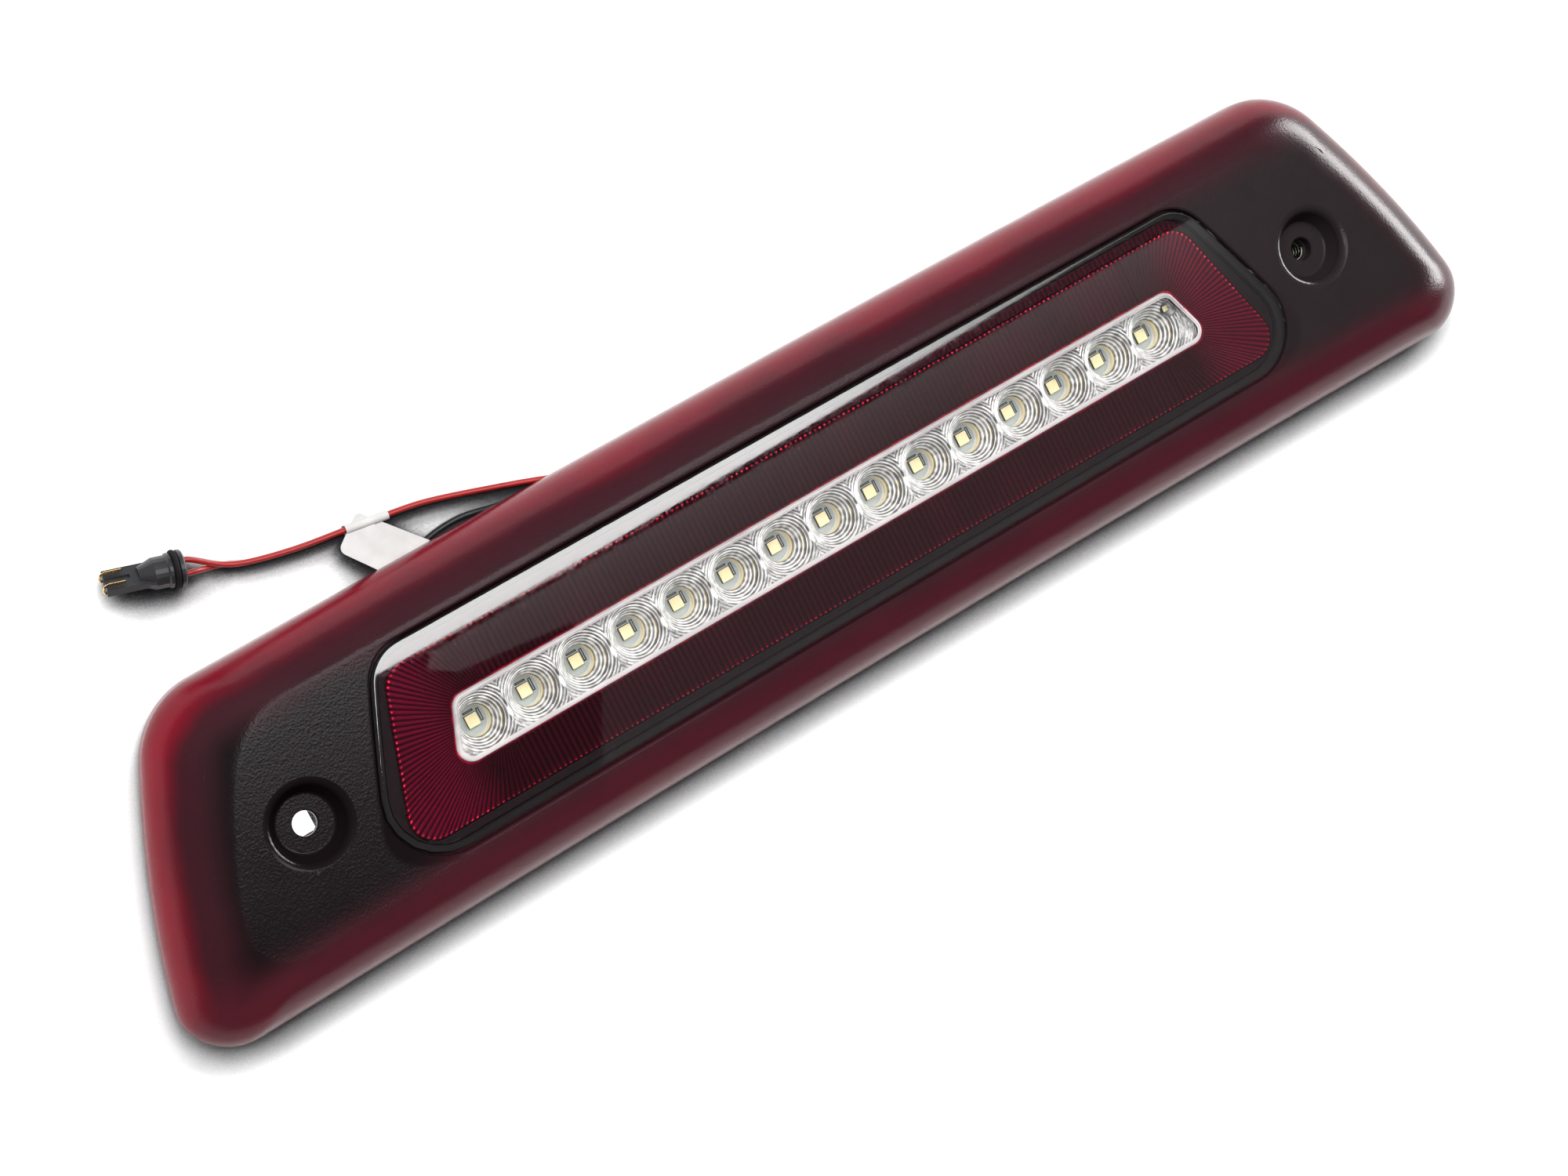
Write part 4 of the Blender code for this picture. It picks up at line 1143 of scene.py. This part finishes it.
def floor():
    """Pale floor with a painted glow that brightens it away from the lamp, and a painted shadow that darkens it
    under the lamp's lower side.
    """
    g = Graph("floor")
    tone = g.mix(g.spread(g.noise(400.0), 0.0, 1.0), (0.94, 0.94, 0.94, 1.0), (0.96, 0.96, 0.96, 1.0))
    # Painted light: the floor glows more the farther it lies from the lamp.
    below = g.ramp(g.axes[1], -0.075, -0.22, 0.0, 0.6, True)
    above = g.ramp(g.axes[1], 0.11, 0.22, 0.0, 0.5, True)
    aside = g.ramp(g.reckon("ABSOLUTE", g.axes[0]), 0.23, 0.34, 0.0, 0.5, True)
    distance = g.add("ShaderNodeVectorMath", {0: g.place}, operation="LENGTH").outputs["Value"]
    away = g.ramp(distance, 0.4, 1.6, 0.0, 1.0, True)
    glow = g.larger(g.larger(g.larger(below, above), aside), away)
    # Painted shadow: the floor is darkened where the lamp's body blocks a hemisphere leaning towards +Y.
    lean = g.add("ShaderNodeCombineXYZ", {0: 0.0, 1: 0.75, 2: 0.66}).outputs[0]
    near = g.add("ShaderNodeAmbientOcclusion", {"Distance": 0.0145, "Normal": lean}, samples=8).outputs["AO"]
    tone = g.mix(g.ramp(near, 0.6, 0.93, 0.0, 1.0, True), (0.03, 0.03, 0.033, 1.0), tone)
    g.principled(Base_Color=tone, Roughness=g.spread(g.noise(50.0), 0.85, 0.95),
                 Specular_IOR_Level=0.1, Emission_Color=(1.0, 1.0, 1.0, 1.0), Emission_Strength=glow)
    size = 6000.0
    add_mesh("studio_floor", rectangle(0.0, 0.0, size, size, 0.0), [(0, 1, 2, 3)], g.material)


def rectangle(x, y, half_x, half_y, z):
    """Corners of a level rectangle round a point."""
    return [(x + sx * half_x, y + sy * half_y, z) for sx, sy in ((-1, -1), (1, -1), (1, 1), (-1, 1))]


def card(name, corners, strength, fade=None, dim=None, seen=False, mirror=True, lights=True):
    """Evenly lit card; mirror lets it show in reflections and lights lets it light surfaces.

    fade gives (y, strength) at its far side; dim gives the x range over which it
    falls to a share of its strength.
    """
    g = Graph(name)
    power = strength
    if fade:
        near = g.ramp(g.axes[1], corners[0][1] * MM, fade[0] * MM, 1.0, 0.0)
        power = g.ramp(g.reckon("POWER", near, 4.0), 0.0, 1.0, fade[1], strength)
    if dim:
        power = g.ramp(g.axes[0], dim[0] * MM, dim[1] * MM, strength, strength * dim[2], True)
    g.finish(g.add("ShaderNodeEmission", {"Strength": power}))
    mesh = bpy.data.meshes.new(name)
    mesh.from_pydata([Vector(c) * MM for c in corners], [], [tuple(range(len(corners)))])
    mesh.materials.append(g.material)
    item = bpy.data.objects.new(name, mesh)
    bpy.context.scene.collection.objects.link(item)
    item.visible_camera = seen
    item.visible_glossy = mirror
    item.visible_diffuse = lights


def mirrored(x, y, height):
    """Where the camera's ray to a point on the window goes, at a height above the window."""
    share = height / (CAMERA_PLACE[2] - Z_WINDOW)
    return (x + (x - CAMERA_PLACE[0]) * share, y + (y - CAMERA_PLACE[1]) * share, Z_WINDOW + height)


def studio():
    """Key seen in the window's upper edge, soft overhead light, veil on the window, right-hand card."""
    lower = [mirrored(x, y, KEY_HEIGHT) for x, y in ((-215, 23.3), (-75, 23.3), (0, 24.8), (60, 26.5),
                                                     (110, 28), (180, 30.2))]
    upper = [(x, 135.0, lower[0][2]) for x in (lower[-1][0], lower[0][0])]
    card("key_card", lower + upper, KEY, dim=(250.0, 530.0, 0.12), lights=False)
    card("light_card", rectangle(0.0, 700.0, 1300.0, 550.0, 1300.0), LIGHT, mirror=False)
    edge = [mirrored(x, y, VEIL_HEIGHT) for x, y in ((-122, 21.4), (0, 21.8), (110, 22.6), (320, 23.5))]
    far = [(x, -900, edge[0][2]) for x in (edge[-1][0], -50)]
    left = [mirrored(x, y, VEIL_HEIGHT)
            for x, y in ((-95, -28), (-78, 5), (-85, 10), (-118, 13.5), (-125, 18))]
    card("veil_card", edge + far + left, 0.5, (-290.0, 0.17))
    side = [(1900, -700, 60), (1900, 900, 60), (1850, 900, 600), (1850, -700, 600)]
    card("right_card", side, 28.0, lights=False)
    card("under_card", rectangle(-RECESS_X, RECESS_Y, 6.0, 6.0, 0.4), 1.1, seen=True)
    world = bpy.data.worlds.new("studio")
    world.use_nodes = True
    sky = world.node_tree.nodes["Background"]
    sky.inputs["Color"].default_value = (1.0, 1.0, 1.0, 1.0)
    sky.inputs["Strength"].default_value = 0.05
    bpy.context.scene.world = world
    bpy.context.scene.view_settings.view_transform = "Standard"


def camera():
    data = bpy.data.cameras.new("camera")
    data.lens = 70.2
    data.sensor_width = 36.0
    data.clip_start = 0.01
    data.clip_end = 20.0
    made = bpy.data.objects.new("camera", data)
    bpy.context.scene.collection.objects.link(made)
    right = Vector((0.8109042, -0.4476661, 0.3768680))
    down = Vector((-0.4719056, -0.8810961, -0.0312221))
    ahead = Vector((0.3460340, -0.1525279, -0.9257406))
    place = Vector(CAMERA_PLACE) * MM
    made.matrix_world = Matrix((
        (right.x, -down.x, -ahead.x, place.x),
        (right.y, -down.y, -ahead.y, place.y),
        (right.z, -down.z, -ahead.z, place.z),
        (0.0, 0.0, 0.0, 1.0)))
    bpy.context.scene.camera = made


# ---------------------------------------------------------------- assembly

def paint(node, surface):
    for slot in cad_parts[node].material_slots:
        slot.link = "OBJECT"
        slot.material = surface


def main():
    black = moulded("black_plastic", linear(30, 28, 30), 0.42, 0.6, 0.02)
    rubber = moulded("black_rubber", linear(24, 22, 23), 0.75, 0.4, 0.02, shine=0.12)
    # Painted light: the board glows, lifting the shade that the cup walls cast on it.
    board = moulded("board", linear(150, 157, 155), 0.42, 0.4, 0.004, 0.06, patch=5.0, glow=0.45)
    chip = moulded("chip_black", linear(34, 34, 36), 0.5, 0.3, 0.01)
    ceramic = moulded("ceramic_part", linear(176, 140, 104), 0.35, 0.3, 0.006)
    steel = moulded("screw_steel", linear(196, 196, 192), 0.28, 0.3, 0.006, metallic=1.0)
    # Painted shade: the bush is near-black and not metallic, standing in for the shade inside the screw hole.
    bush = moulded("insert_metal", linear(34, 30, 31), 0.4, 0.3, 0.008)
    thread = moulded("insert_thread", linear(150, 148, 138), 0.3, 0.3, 0.008, metallic=1.0)
    gold = moulded("contact_gold", linear(226, 190, 130), 0.25, 0.3, 0.004, metallic=1.0)
    plug_black = moulded("plug_black", linear(36, 36, 38), 0.4, 0.5, 0.03)
    red_led = moulded("red_led", linear(190, 40, 44), 0.25, 0.3, 0.004)
    led_body = moulded("led_body", linear(46, 44, 38), 0.4, 0.3, 0.004)
    phosphor = phosphor_material()

    cover(cover_material())
    window_lens(window_material())
    fluted_lens(flute_material(), glint_material())
    strip_lens(clear_material(), strip_edge_material())
    # The second chrome is tinted yellow: a painted reflection of the LED faces on the cup walls.
    reflector(chrome_material(), chrome_material("chrome_painted_phosphor_reflection", (0.93, 0.82, 0.55, 1.0), 0.12))
    low = Z_BOARD_TOP + GAP
    for i in range(LED_COUNT):
        led_package("white_led_%02d" % (i + 1), led_x(i), LED_ROW_Y, LED_SIZE, low, low + LED_TALL,
                    led_body, phosphor)
    led_package("white_led_16", *CORNER_LED, CORNER_LED_SIZE, low, low + CORNER_LED_TALL, led_body, phosphor)
    board_marks(chip)
    screw_insert(bush, thread)
    wires(wire_material("wire_red", linear(140, 24, 23), 0.34),
          wire_material("wire_black", linear(30, 30, 32), 0.36))
    label(paper_material())

    looks = {"window_seal": rubber, "inner_bezel": bezel_material(), "led_board": board, "driver_chip": chip,
             "resistor": chip, "capacitor": ceramic, "diode": chip, "rear_housing": black, "gasket": foam_material(),
             "lead_grommet": rubber, "plug_body": plug_black, "plug_seal": rubber,
             "plug_contact_1": gold, "plug_contact_2": gold}
    for i in range(1, 9):
        looks["red_led_%d" % i] = red_led
    for i in range(1, 5):
        looks["board_screw_%d" % i] = steel
        looks["housing_screw_%d" % i] = steel
    for node, surface in looks.items():
        paint(node, surface)

    floor()
    studio()
    camera()


main()
